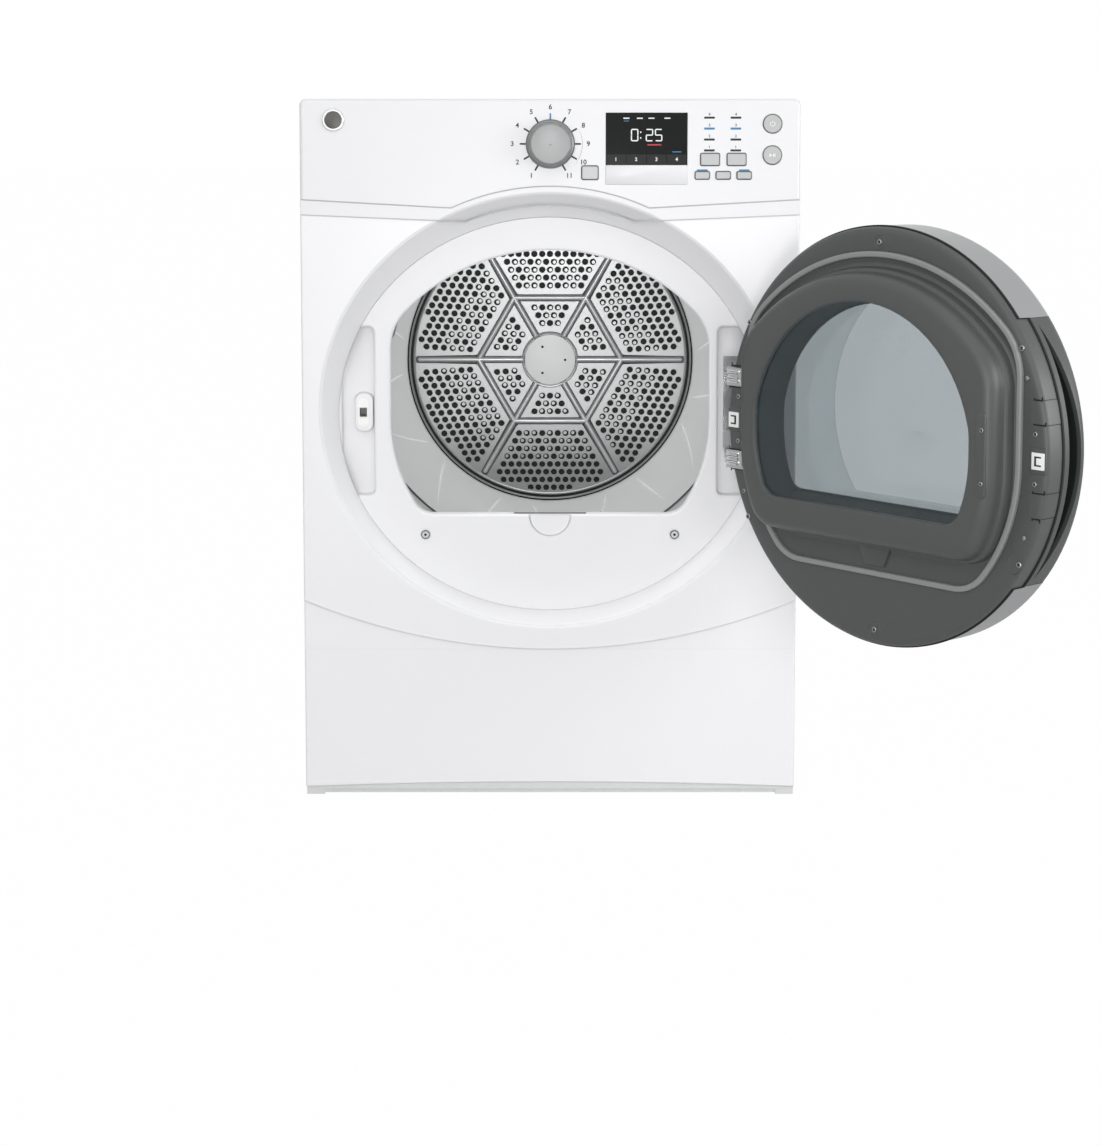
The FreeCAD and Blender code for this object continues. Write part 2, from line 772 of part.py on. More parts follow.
def make_knob():
    """Turned knob with a dished face and a spindle that reaches the encoder."""
    knob = body("cycle_knob")
    section = sketch(knob, "top")
    face, dish = knob_radius - 7, 2
    hollow_radius = (face * face + dish * dish) / (2 * dish)
    outline(section, (0, dish - 21.5), (face, -21.5, -hollow_radius), (knob_radius - 4, -19.5, 3),
            (knob_radius - 1.5, -4), (knob_radius, -3), (knob_radius, -0.6),
            (knob_shaft, -0.6), (knob_shaft, board_depth - 1), (0, board_depth - 1))
    turn(knob, "Revolution", section, "V_Axis")
    finish("cycle_knob", knob, x=knob_x, y=-cabinet_depth / 2, z=knob_z)


def make_key(label, x, z, across, high):
    """Push button: cap in the fascia with a stem towards its switch on the board."""
    key = body(label)
    cap = sketch(key, "front", -button_proud)
    draw_key(cap, 0, 0, across, high, 0)
    pad(key, cap, button_proud + plastic)
    soften(key, "Fillet", 0.7, lambda b: b.YMax < 0.01 - number(button_proud))
    stem = sketch(key, "front", plastic)
    circle(stem, 0, 0, 2.5)
    pad(key, stem, board_depth - plastic - 2)
    finish(label, key, x=x, y=-cabinet_depth / 2, z=z)


# ------------------------------------------------------------------ front bulkhead and latch

def dee(half, floor, low_z, arc, arc_z0, low_corner, top_corner, inset=0):
    """D-shaped outline: flat floor, round lower sides, upright sides and an arched top."""
    low_x = root((half - low_corner) * (half - low_corner)
                 - (low_z - floor - low_corner) * (low_z - floor - low_corner))
    low_dz = low_z - floor - low_corner
    low_share = (half - inset) / (half - low_corner)
    top_dx = half - top_corner
    top_dz = root((arc - top_corner) * (arc - top_corner) - top_dx * top_dx)
    top_share = (arc - inset) / (arc - top_corner)
    return mirrored((low_x, floor + inset),
                    (low_x * low_share, low_z - low_dz * low_share, low_corner - inset),
                    (half - inset, low_z, half - inset),
                    (half - inset, arc_z0 + top_dz),
                    (top_dx * top_share, arc_z0 + top_dz * top_share, top_corner - inset),
                    (0, arc_z0 + arc - inset, arc - inset))


def mouth(inset=0, drop=0):
    return dee(mouth_half_width, mouth_floor_z - drop, mouth_low_z - drop, mouth_top_arc,
               mouth_top_arc_z - drop, mouth_low_corner, mouth_top_corner, inset)


def make_bulkhead():
    """Plate behind the cove with the drum's mouth, the drum collar and the two side pockets."""
    front, back = cove_depth + 0.3, cove_depth + 0.3 + bulkhead_wall
    plate = body("front_bulkhead")
    face = sketch(plate, "front", front)
    rounded(face, -325, 250, 325, 850, 30)
    pad(plate, face, bulkhead_wall)
    lip = sketch(plate, "front", front)
    outline(lip, *mouth(-bulkhead_wall))
    pad(plate, lip, mouth_lip)
    collar = sketch(plate, "front", back)
    circle(collar, 0, drum_z, collar_radius)
    circle(collar, 0, drum_z, collar_radius - bulkhead_wall)
    pad(plate, collar, drum_front + 16 - back)
    wells = sketch(plate, "front", back)
    for inner, outer in ((-pocket_inner_left, -pocket_outer), (pocket_inner_right, pocket_outer)):
        x0, x1 = (outer, inner) if number(inner) < 0 else (inner, outer)
        rectangle(wells, x0 - 2, pocket_low - 2, x1 + 2, pocket_high + 2)
    pad(plate, wells, pocket_depth)
    scoop = sketch(plate, "front", back)
    circle(scoop, 0, mouth_floor_z - 2, 32)
    pad(plate, scoop, 2)
    opening = sketch(plate, "front")
    outline(opening, *mouth())
    pocket(plate, opening, cabinet_depth / 3)
    soften(plate, "Fillet", mouth_round, lambda b: b.YMax < number(front) + 0.01
           and abs(b.XMax) < number(mouth_half_width) + 1
           and abs(b.XMin) < number(mouth_half_width) + 1)
    hollows = sketch(plate, "front", front)
    rounded(hollows, -pocket_outer, pocket_low, -pocket_inner_left, pocket_high, 8)
    rounded(hollows, pocket_inner_right, pocket_low, pocket_outer, pocket_high, 8)
    pocket(plate, hollows, pocket_depth)
    soften(plate, "Fillet", mouth_round, lambda b: b.YMax < number(front) + 0.01
           and b.ZMin > number(pocket_low) - 1 and b.ZMax < number(pocket_high) + 1
           and max(abs(b.XMin), abs(b.XMax)) > number(pocket_inner_right) - 1
           and max(abs(b.XMin), abs(b.XMax)) < number(pocket_outer) + 1)
    thumb = sketch(plate, "front", front)
    circle(thumb, 0, mouth_floor_z - 2, 30)
    pocket(plate, thumb, 2.6)
    slot = sketch(plate, "top", mouth_floor_z - 40)
    rectangle(slot, -filter_half_width - 2.5, filter_front - 0.8, filter_half_width + 2.5,
              filter_front + filter_thickness + 1.2)
    pocket(plate, slot, 60)
    chute_gap = sketch(plate, "top", drum_z - collar_radius - 5)
    rectangle(chute_gap, -60, back, 60, drum_front - 5)
    pocket(plate, chute_gap, 60)
    boss = sketch(plate, "front", latch_depth)
    rounded(boss, latch_x - 12, latch_z - 28, latch_x + 14, latch_z + 28, 11)
    pad(plate, boss, back + pocket_depth - latch_depth)
    throat = sketch(plate, "front", latch_depth)
    rectangle(throat, latch_x - 6.6, latch_z - 8.6, latch_x + 6.6, latch_z + 8.6)
    pocket(plate, throat, 24)
    in_cabinet("front_bulkhead", plate)


def make_latch():
    """Oval striker plate with two screws, and the sprung catch behind it."""
    plate = body("latch_plate")
    face = sketch(plate, "front", latch_depth - 1.5)
    rounded(face, latch_x - 7.6, latch_z - 21, latch_x + 7.6, latch_z + 21, 7.5)
    pad(plate, face, 1.5)
    window = sketch(plate, "front", latch_depth - 1.5)
    rectangle(window, latch_x - 5.4, latch_z - 7, latch_x + 5.4, latch_z + 7)
    pocket(plate, window, 1.5)
    heads = sketch(plate, "front", latch_depth - 2.4)
    for side in (-1, 1):
        circle(heads, latch_x, latch_z + side * 14, 3.6)
    pad(plate, heads, 1.2)
    in_cabinet("latch_plate", plate)
    shell = box(latch_x - 6.5, latch_x + 6.5, latch_depth, latch_depth + 22, latch_z - 8.5,
                latch_z + 8.5)
    way_in = box(latch_x - 5, latch_x + 5, latch_depth - 1, latch_depth + 20, latch_z - 6,
                 latch_z + 6)
    in_cabinet("latch_catch", cut(shell, way_in))


# ------------------------------------------------------------------ door

def make_door_frame():
    """Silver ring round the door, rounded at the front, cut back for the grip."""
    frame = body("door_outer_frame")
    wall, lip, bend = plastic, door_radius - 25, door_shoulder
    section = sketch(frame, "top")
    edge = 2 - liner_rim - 4
    outline(section, (door_radius - wall, edge), (door_radius - wall, bend - door_shell),
            (door_radius - bend, wall - door_shell, wall - bend), (lip + 4, wall - door_shell),
            (lip, wall + 2 - door_shell), (lip, 2 - door_shell), (lip + 4, -door_shell),
            (door_radius - bend, -door_shell), (door_radius, bend - door_shell, bend),
            (door_radius, edge))
    turn(frame, "Revolution", section, "V_Axis")
    grip = sketch(frame, "front", -grip_front)
    rectangle(grip, -door_radius - 5, -grip_half_height, -grip_inner_x, grip_half_height)
    pocket(frame, grip, grip_front)
    on_door("door_outer_frame", frame)


def make_outer_glass():
    """Slightly domed dark glass that fills the ring."""
    glass = body("door_outer_glass")
    aperture, rim = door_radius - 26, door_radius - 19
    face, back = 2.2 - door_shell, 4.8 - door_shell
    rise = face + glass_dome + door_shell
    dome_radius = (aperture * aperture + rise * rise) / (2 * rise)
    section = sketch(glass, "top")
    outline(section, (0, -glass_dome - door_shell), (aperture, face, dome_radius),
            (aperture, back), (rim, back), (rim, back + 4), (aperture - 4, back + 4),
            (0, 4 - glass_dome - door_shell, -dome_radius))
    turn(glass, "Revolution", section, "V_Axis")
    on_door("door_outer_glass", glass)


def window(inset=0):
    return dee(window_half_width, -window_floor, -3, window_top_arc, -7, window_low_corner, 80, inset)


def plug(inset=0):
    return dee(mouth_half_width - plug_inset, -plug_floor, mouth_low_z - door_height,
               mouth_top_arc - plug_inset, mouth_top_arc_z - door_height, plug_low_corner,
               mouth_top_corner, inset)


def rim_x(z):
    """Distance of the ears' outer edge from the door's upright middle line at a height."""
    return root(ear_reach * ear_reach - z * z)


def at_grip(shape):
    """The share of a ring-shaped piece that lies at the grip, on the free side of the door."""
    high = grip_half_height - 0.3
    made = doc.addObject("Part::Common", "at_grip")
    made.Base = shape
    made.Tool = box(-door_radius, -grip_inner_x, -grip_front, 0, -high, high)
    return made


def make_liner():
    """Dark inner door: flat ring, ears that enter the side pockets, hollow D-shaped plug."""
    liner = body("liner_with_plug")
    disc = sketch(liner, "front", -liner_rim)
    circle(disc, 0, 0, liner_radius)
    pad(liner, disc, liner_rim)
    ears = sketch(liner, "front", -liner_rim)
    near, far = hinge_spacing / 2 - hinge_gap, hinge_spacing / 2 + hinge_gap
    for side in (-1, 1):
        for z0, z1 in ((-ear_height, -far), (-near, near), (far, ear_height)):
            outline(ears, (side * ear_inner_x, z0), (side * rim_x(z0), z0),
                    (side * rim_x(z1), z1, side * ear_reach), (side * ear_inner_x, z1))
    pad(liner, ears, liner_rim + ear_depth)
    base = sketch(liner, "front", -liner_wall)
    outline(base, *plug())
    tip = sketch(liner, "front", plug_depth)
    outline(tip, *plug(plug_taper))
    loft(liner, "Additive", base, tip)
    soften(liner, "Fillet", plug_round, lambda b: b.YMin > number(plug_depth) - 0.01)
    tab_top = 3 - plug_floor
    tab = sketch(liner, "front", -liner_wall)
    outline(tab, (-17, tab_top - 30), (17, tab_top - 30), (29, tab_top), (-29, tab_top))
    pad(liner, tab, liner_wall + 5)
    rim_hollow = sketch(liner, "front", -liner_rim)
    circle(rim_hollow, 0, 0, liner_radius - liner_wall)
    pocket(liner, rim_hollow, liner_rim - liner_wall)
    wide = sketch(liner, "front", -liner_wall)
    outline(wide, *plug(liner_wall))
    narrow = sketch(liner, "front", plug_depth - 3.7)
    outline(narrow, *plug(plug_taper + liner_wall))
    loft(liner, "Subtractive", wide, narrow)
    view = sketch(liner, "front")
    outline(view, *window())
    pocket(liner, view, plug_depth + 1)
    wrap = tube("Y", 0, -grip_back, 0, liner_radius, liner_radius - liner_wall,
                grip_back - liner_wall)
    on_door("door_liner", fuse(liner, at_grip(wrap)))


def make_inner_glass():
    """Flat pane held behind the face of the plug."""
    pane = body("door_inner_glass")
    face = sketch(pane, "front", plug_depth - 8.2)
    outline(face, *window(-7))
    pad(pane, face, 4)
    on_door("door_inner_glass", pane)


def make_seal():
    """Light grey lip that presses on the bulkhead all round the mouth."""
    seal = body("door_seal")
    floor_z = seal_floor_z - door_height
    face = sketch(seal, "front")
    for inset in (-seal_width / 2, seal_width / 2):
        outline(face, *dee(seal_half_width, floor_z, -10, 306, -62.6, 60, 85, inset))
    pad(seal, face, 5.4)
    soften(seal, "Fillet", 2.4, lambda b: b.YMin > 5.3)
    on_door("door_seal", seal)


def make_handle():
    """Dark grip let into the free side of the ring, hollowed by a channel for the fingers."""
    grip = body("grip")
    section = sketch(grip, "top")
    outer, back, front = door_radius - 0.4, 0.6 + grip_back, grip_front - 0.3
    outline(section, (grip_inner_radius, -back), (outer, -back),
            (outer, door_shoulder - door_shell), (outer - 2.4, -front, -door_shoulder),
            (grip_inner_radius + 7.5, -front), (grip_inner_radius + 7.5, 5 - front),
            (grip_inner_radius, 5 - front))
    turn(grip, "Revolution", section, "V_Axis")
    lens = body("channel_view")
    view = sketch(lens, "side", -door_radius - 5)
    reach, bulge = channel_half_height, channel_front - channel_back
    curve = (reach * reach + bulge * bulge) / (2 * bulge)
    outline(view, (-channel_back, -reach, curve), (-channel_back, reach),
            (-channel_front, 0, curve))
    pad(lens, view, door_radius + 5 - grip_inner_x)
    channel = cut(lens, rod("Y", 0, -grip_front, 0, channel_radius, grip_front))
    on_door("door_handle", cut(at_grip(grip), channel))


def make_hinge_leaves():
    """Two leaves that wrap the edge of the liner and end in split knuckles on the pins."""
    side_x, face, high = 277.8, 2.2, 13
    leaves = []
    for middle in (-hinge_spacing / 2, hinge_spacing / 2):
        plate = box(244, side_x + 2.3, 0.05, face, middle - high, middle + high)
        edge = box(side_x, side_x + 2.3, -liner_offset, face, middle - high, middle + high)
        knuckle = rod("Z", hinge_x, -liner_offset, middle - high, knuckle_radius, 2 * high)
        gap = box(side_x - 8, hinge_x + 12, -liner_offset - 8, 10 - liner_offset,
                  middle - 5, middle + 5)
        bore = rod("Z", hinge_x, -liner_offset, middle - high - 1, pin_radius + running_fit,
                   2 * high + 2)
        leaves.append(cut(fuse(plate, edge, knuckle), gap, bore))
    on_door("door_hinge_leaves", group(*leaves))


def make_hinge_covers():
    """Blank covers over the hinge seats on the free side, so that the door can be rehung."""
    edge = rim_x(hinge_spacing / 2 + 12.5)
    covers = [box(-edge, -ear_inner_x + 7, 0.05, 1.8, middle - 12.5, middle + 12.5)
              for middle in (-hinge_spacing / 2, hinge_spacing / 2)]
    on_door("hinge_covers", group(*covers))


def make_strikes():
    """Square strikes with a post, one for the latch and one for when the door is rehung."""
    strikes = []
    for x in (-strike_x, strike_x):
        low, high = -strike_drop - 9.5, 9.5 - strike_drop
        base = box(x - 6.5, x + 6.5, ear_depth, ear_depth + 1.4, low, high)
        dish = box(x - 5, x + 5, ear_depth + 0.5, ear_depth + 2, low + 1.5, high - 1.5)
        post = box(x - 2.5, x + 2.5, ear_depth + 0.2, ear_depth + 10, low + 6.5, high - 6.5)
        strikes.append(fuse(cut(base, dish), post))
    on_door("door_strikes", group(*strikes))


def make_door_screws():
    """Screw heads round the liner."""
    heads = []
    for x, z, radius in ((0, 259.5, 4.2), (0, -259.5, 4.2), (237, 137, 4.2), (-237, 137, 4.2),
                         (237, -137, 4.2), (-237, -137, 4.2), (246, 100, 2.6), (-246, 100, 2.6),
                         (246, -102, 2.6), (-246, -102, 2.6)):
        heads.append(rod("Y", x, 0, z, radius, 1.6))
    on_door("door_screws", group(*heads))


def make_hinge_bracket():
    """Plate in the right-hand pocket with two arms that hold the fixed hinge pins."""
    floor = cove_depth + 0.3 + pocket_depth
    parts = [box(252, 299, floor - 2, floor, door_height - 76, door_height + 76)]
    for middle in (door_height - hinge_spacing / 2, door_height + hinge_spacing / 2):
        arm = body("hinge_arm")
        plan = sketch(arm, "top", middle - 4.5)
        outline(plan, (hinge_x + 4.6, hinge_y - 0.9), (hinge_x + 15, floor - 2), (hinge_x + 6, floor - 2),
                (hinge_x - 4.6, hinge_y + 0.9))
        pad(arm, plan, 9)
        parts.append(arm)
        parts.append(rod("Z", hinge_x, hinge_y, middle - 4.5, knuckle_radius, 9))
        parts.append(rod("Z", hinge_x, hinge_y, middle - 14, pin_radius, 28))
    in_cabinet("hinge_bracket", fuse(*parts))


# ------------------------------------------------------------------ drum

def at_drum(label, made):
    finish(label, made, y=-cabinet_depth / 2, z=drum_z)


def make_drum_shell():
    """Rolled steel barrel with an inward rim at its mouth."""
    shell = body("drum_shell")
    section = sketch(shell, "top")
    outline(section, (drum_mouth, drum_front), (drum_radius - 6, drum_front),
            (drum_radius, drum_front + 6, 6), (drum_radius, drum_rear - 30),
            (drum_radius - drum_sheet, drum_rear - 30),
            (drum_radius - drum_sheet, drum_front + 6),
            (drum_radius - 6, drum_front + drum_sheet, -(6 - drum_sheet)),
            (drum_mouth, drum_front + drum_sheet))
    turn(shell, "Revolution", section, "V_Axis")
    at_drum("drum_shell", shell)


def make_drum_back():
    """Drum end: flat middle with raised spokes and a hexagon of ribs, and a sloping outer ring."""
    back = body("drum_back")
    seat, sheet_y = drum_radius - drum_sheet - 0.1, drum_rear - drum_sheet
    section = sketch(back, "top")
    outline(section, (0, sheet_y), (drum_plate, sheet_y), (seat - drum_sheet, drum_rear - 44),
            (seat - drum_sheet, drum_rear - 64), (seat, drum_rear - 64), (seat, drum_rear - 43),
            (drum_plate + 2, drum_rear), (0, drum_rear))
    turn(back, "Revolution", section, "V_Axis")
    hub = sketch(back, "front", sheet_y - 4)
    circle(hub, 0, 0, 44)
    pad(back, hub, 4.5)
    spoke = sketch(back, "front", sheet_y - 3)
    rectangle(spoke, 40, -rib_width / 2, drum_plate - 18, rib_width / 2)
    repeat_round(back, pad(back, spoke, 3.5), "Y_Axis", 6)
    side = hexagon_radius * cosine(30)
    rib = sketch(back, "front", sheet_y - 3)
    rectangle(rib, -hexagon_radius / 2, side - rib_width / 2, hexagon_radius / 2,
              side + rib_width / 2)
    repeat_round(back, pad(back, rib, 3.5), "Y_Axis", 6)
    at_drum("drum_back", back)


def make_baffles():
    """Three tapered hollow lifters fixed along the inside of the barrel."""
    lifters = body("drum_baffles")
    lifters.AllowCompound = True
    wall, long = 3, 520
    foot, tip = drum_radius - drum_sheet - 1, drum_radius - 58
    face = sketch(lifters, "front", drum_front + 30)
    outline(face, on_circle(foot, baffle_angle - 5.4), on_circle(foot, baffle_angle + 5.4),
            on_circle(tip, baffle_angle + 2.2), on_circle(tip, baffle_angle - 2.2))
    lifter = pad(lifters, face, long)
    inside = sketch(lifters, "front", drum_front + 30 + wall)
    outline(inside, on_circle(foot - wall, baffle_angle - 4.8), on_circle(foot - wall, baffle_angle + 4.8),
            on_circle(tip + wall, baffle_angle + 1.6), on_circle(tip + wall, baffle_angle - 1.6))
    hollow = pocket(lifters, inside, long)
    ring_of_lifters = repeat_round(lifters, lifter, "Y_Axis", 3)
    ring_of_lifters.Originals = [lifter, hollow]
    at_drum("drum_baffles", lifters)


def make_drum_shaft():
    """Flanged stub shaft behind the drum's back and the screwed hub plate in front of it."""
    flange = rod("Y", 0, drum_rear, 0, 60, 5)
    stub = rod("Y", 0, drum_rear, 0, shaft_radius, 46)
    plate = rod("Y", 0, drum_rear - drum_sheet - 6.5, 0, 41, 2.5)
    screws = [rod("Y", *on_hub(angle), 3.6, 1.2) for angle in (0, 120, 240)]
    at_drum("drum_hub_shaft", group(fuse(flange, stub), fuse(plate, *screws)))


def on_hub(angle):
    x, z = on_circle(26, angle)
    return x, drum_rear - drum_sheet - 7.7, z


def make_drum_seal():
    """Felt ring on the bulkhead's collar that the drum's mouth turns around."""
    inner, outer = collar_radius + 0.2, drum_mouth - 0.5
    felt = tube("Y", 0, drum_front - 3, drum_z, outer, inner, 14)
    in_cabinet("drum_front_seal", felt)


def make_rear_bearing():
    """Sleeve bearing and its ring-shaped holder for the drum's stub shaft."""
    in_cabinet("rear_bearing", tube("Y", 0, drum_rear + 18, drum_z, 21.9,
                                    shaft_radius + running_fit, 24))


# ------------------------------------------------------------------ heat, air and drive

def make_heater():
    """Round heater dish behind the drum with a bearing seat, and the wound element inside it."""
    front, back, wall = drum_rear + 12, cabinet_depth - steel, 1.5
    dish = rod("Y", 0, front, drum_z, heater_radius, back - front)
    hollow = rod("Y", 0, front - 1, drum_z, heater_radius - wall, back - front + 1 - wall)
    seat = tube("Y", 0, drum_rear + 18, drum_z, 26, 22, back - drum_rear - 19)
    in_cabinet("heater_housing", fuse(cut(dish, hollow), seat))
    depth = drum_rear + 38
    turns = [ring("Y", 0, depth, drum_z, radius, 3.5) for radius in (110, 150, 190)]
    bar = box(105, 195, depth - 2, depth + 2, drum_z - 4, drum_z + 4)
    other = box(-195, -105, depth - 2, depth + 2, drum_z - 4, drum_z + 4)
    posts = [rod("Y", x, depth, drum_z, 4, back - wall - depth) for x in (-150, 150)]
    in_cabinet("heating_coil", fuse(bar, other, *turns, *posts))


def make_motor():
    """Motor on a folded bracket, with the pin that the idler arm turns on."""
    can = rod("Y", motor_x, 300, motor_z, 66, 130)
    bells = [rod("Y", motor_x, y, motor_z, 40, 10) for y in (290, 430)]
    inside = tube("Y", motor_x, 303, motor_z, 63, motor_shaft_radius + 8, 124)
    windings = tube("Y", motor_x, 325, motor_z, 63.5, 42, 80)
    bore = rod("Y", motor_x, 280, motor_z, motor_shaft_radius + running_fit, 170)
    shell = cut(fuse(can, *bells), inside, bore)
    in_cabinet("motor_housing", fuse(shell, windings))
    plate = box(-212, -20, 285, 482, pan_floor, pan_floor + 3)
    saddles = [cut(box(motor_x - 60, motor_x + 60, y, y + 4, pan_floor, motor_z),
                   rod("Y", motor_x, y - 1, motor_z, 66.2, 6)) for y in (320, 405)]
    ear = box(arm_x - 12, arm_x + 12, 478, 482, pan_floor, arm_z + 10)
    pin = rod("Y", arm_x, belt_depth + 10, arm_z, 3.95, 478 - belt_depth - 10)
    in_cabinet("motor_bracket", fuse(plate, ear, pin, *saddles))


def at_motor(label, made):
    finish(label, made, x=motor_x, y=-cabinet_depth / 2, z=motor_z)


def make_rotor():
    """Motor spindle with the belt pulley at the back and the blower wheel at the front."""
    spindle = rod("Y", 0, 222, 0, motor_shaft_radius, belt_depth + 14 - 222)
    at_motor("motor_shaft", fuse(spindle, rod("Y", 0, 284, 0, motor_shaft_radius + 3, 5)))
    pulley = body("motor_pulley")
    section = sketch(pulley, "top")
    half, flange = belt_width / 2 + 1, pulley_radius + 3
    outline(section, (motor_shaft_radius, belt_depth - half - 3), (flange, belt_depth - half - 3),
            (flange, belt_depth - half), (pulley_radius, belt_depth - half),
            (pulley_radius, belt_depth + half), (flange, belt_depth + half),
            (flange, belt_depth + half + 3), (motor_shaft_radius, belt_depth + half + 3))
    turn(pulley, "Revolution", section, "V_Axis")
    at_motor("motor_pulley", pulley)
    wheel = body("blower_wheel")
    disc = sketch(wheel, "front", 262)
    circle(disc, 0, 0, 72)
    circle(disc, 0, 0, motor_shaft_radius)
    pad(wheel, disc, 3)
    hub = sketch(wheel, "front", 240)
    circle(hub, 0, 0, 14)
    circle(hub, 0, 0, motor_shaft_radius)
    pad(wheel, hub, 23)
    hoop = sketch(wheel, "front", 226)
    circle(hoop, 0, 0, 72)
    circle(hoop, 0, 0, 58)
    pad(wheel, hoop, 3)
    vane = sketch(wheel, "front", 228)
    outline(vane, (56, -4), (71.5, 3), (71.2, 5), (55.2, -2))
    repeat_round(wheel, pad(wheel, vane, 35), "Y_Axis", 24)
    at_motor("blower_wheel", wheel)


def make_blower_housing():
    """Scroll round the blower wheel with its inlet at the front and its outlet into the duct."""
    front, back, wall = 217, 277, 2
    def scroll(grow):
        drum = rod("Y", motor_x, front + wall - grow, motor_z, 86 + grow, back - front - 2 * wall + 2 * grow)
        way = box(motor_x, duct_x + 56 + grow, front + wall - grow, back - wall + grow,
                  54 - grow, 170 + grow)
        return drum, way
    inlet = rod("Y", motor_x, front - 1, motor_z, 46, wall + 2)
    outlet = rod("Y", duct_x, back - wall - 1, duct_z, duct_radius - 4, wall + 2)
    spindle = rod("Y", motor_x, back - wall - 1, motor_z, motor_shaft_radius + 2, wall + 2)
    in_cabinet("blower_housing", cut(fuse(*scroll(wall)), *scroll(0), inlet, outlet, spindle))


def make_ducts():
    """Lint duct from the filter slot to the blower, and the exhaust pipe out of the back."""
    wall, top, low = 1.5, mouth_floor_z - bulkhead_wall - 0.3, 98
    y0, y1 = cove_depth + bulkhead_wall + 2.5, 66
    chute = box(-56, 56, y0, y1, low, top)
    trunk = box(motor_x - 52, 56, y0, 216.5, low, 204)
    chute_in = box(-54.5, 54.5, y0 + wall, y1 - wall, low + wall, top + 1)
    trunk_in = box(motor_x - 50.5, 54.5, y0 + wall, 216.5 - wall, low + wall, 204 - wall)
    inlet = rod("Y", motor_x, 214, motor_z, 46, 4)
    in_cabinet("lint_duct", cut(fuse(chute, trunk), chute_in, trunk_in, inlet))
    start, bare, wall, step = 277.3, cabinet_depth + 1, 1, 3
    pipe = rod("Y", duct_x, start, duct_z, duct_radius - step, bare - start + 1)
    stub = rod("Y", duct_x, bare, duct_z, duct_radius, duct_stub - 1)
    bore = rod("Y", duct_x, start - 1, duct_z, duct_radius - step - wall, cabinet_depth)
    wide = rod("Y", duct_x, bare + 2, duct_z, duct_radius - wall, duct_stub)
    in_cabinet("exhaust_duct", cut(fuse(pipe, stub), bore, wide))


def make_belt():
    """Flat belt round the drum and the motor pulley, drawn as one taut loop."""
    belt = body("drive_belt")
    span_x, span_z = motor_x, motor_z - drum_z
    reach = root(span_x * span_x + span_z * span_z)
    lean = 180 + slope(span_z / span_x)
    for grow, cutter in ((belt_thickness, False), (0, True)):
        big, small = drum_radius + belt_clear + grow, pulley_radius + belt_clear + grow
        spread = arc_cosine((big - small) / reach)
        loop = sketch(belt, "front", belt_depth - belt_width / 2)
        up, down = lean + spread, lean - spread
        right = on_circle(big, up)
        left = on_circle(big, down)
        top = on_circle(big, (up + down) / 2 + 180)
        low_left = on_circle(small, down, span_x, span_z)
        low_right = on_circle(small, up, span_x, span_z)
        outline(loop, right, (*top, big), (*left, big), low_left, (*low_right, small))
        (pocket if cutter else pad)(belt, loop, belt_width)
    at_drum("drive_belt", belt)


def make_idler():
    """Sprung arm with a free pulley that keeps the belt tight."""
    plan = body("idler_arm")
    arm = sketch(plan, "front", belt_depth + 12)
    run_x, run_z = idler_x - arm_x, idler_z - arm_z
    length = root(run_x * run_x + run_z * run_z)
    side_x, side_z = run_z / length * 9, run_x / length * 9
    cap = 9.01
    outline(arm, (run_x + side_x, run_z - side_z), (run_x - side_x, run_z + side_z, cap),
            (-side_x, side_z), (side_x, -side_z, cap))
    pad(plan, arm, 4)
    holes = sketch(plan, "front", belt_depth + 12)
    circle(holes, 0, 0, 4)
    pocket(plan, holes, 4)
    axle = sketch(plan, "front", belt_depth - belt_width)
    circle(axle, run_x, run_z, 3.95)
    pad(plan, axle, 12 + belt_width)
    finish("idler_arm", plan, x=arm_x, y=-cabinet_depth / 2, z=arm_z)
    wheel = tube("Y", 0, belt_depth - belt_width / 2 - 1, 0, idler_radius, 4, belt_width + 2)
    finish("idler_pulley", wheel, x=idler_x, y=-cabinet_depth / 2, z=idler_z)


# ------------------------------------------------------------------ small parts

def make_filter():
    """Framed lint screen with a grip along its top edge; it lifts out of the slot."""
    x, y0, y1 = filter_half_width, filter_front, filter_front + filter_thickness
    top, low = mouth_floor_z - 0.5, mouth_floor_z - filter_length
    frame = box(-x, x, y0, y1, low, top)
    holes = [box(x0, x0 + 40, y0 + 3, y1 - 3, low + 6, top - 30) for x0 in (-44, 4)]
    faces = [box(x0, x0 + 36, y0 - 1, y1 + 1, low + 10 + k * 76, low + 78 + k * 76)
             for x0 in (-42, 6) for k in range(3)]
    in_cabinet("lint_filter", cut(frame, *holes, *faces))


def make_terminal_cover():
    """Cover over the terminal block with the round inlet for a supply cord."""
    y0, y1 = cabinet_depth, cabinet_depth + 22
    shell = box(205, 315, y0, y1, 832, 940)
    hollow = box(207, 313, y0 - 1, y1 - 2, 834, 938)
    inlet = rod("Y", 260, y1 - 3, 860, cord_hole, 4)
    in_cabinet("terminal_cover", cut(shell, hollow, inlet))


def make_screws():
    """Screw heads on the bulkhead and round the back."""
    heads = [rod("Y", side * 181.5, cove_depth + 0.3 - 2.4, 378, 6, 2.4) for side in (-1, 1)]
    for x in (-340, 340):
        heads += [rod("Y", x, cabinet_depth, z, 4.5, 2.2) for z in (40, 280, 520, 760, 975)]
    heads += [rod("Y", x, cabinet_depth, z, 4.5, 2.2) for x in (-170, 0, 170) for z in (975,)]
    in_cabinet("cabinet_screws", group(*heads))


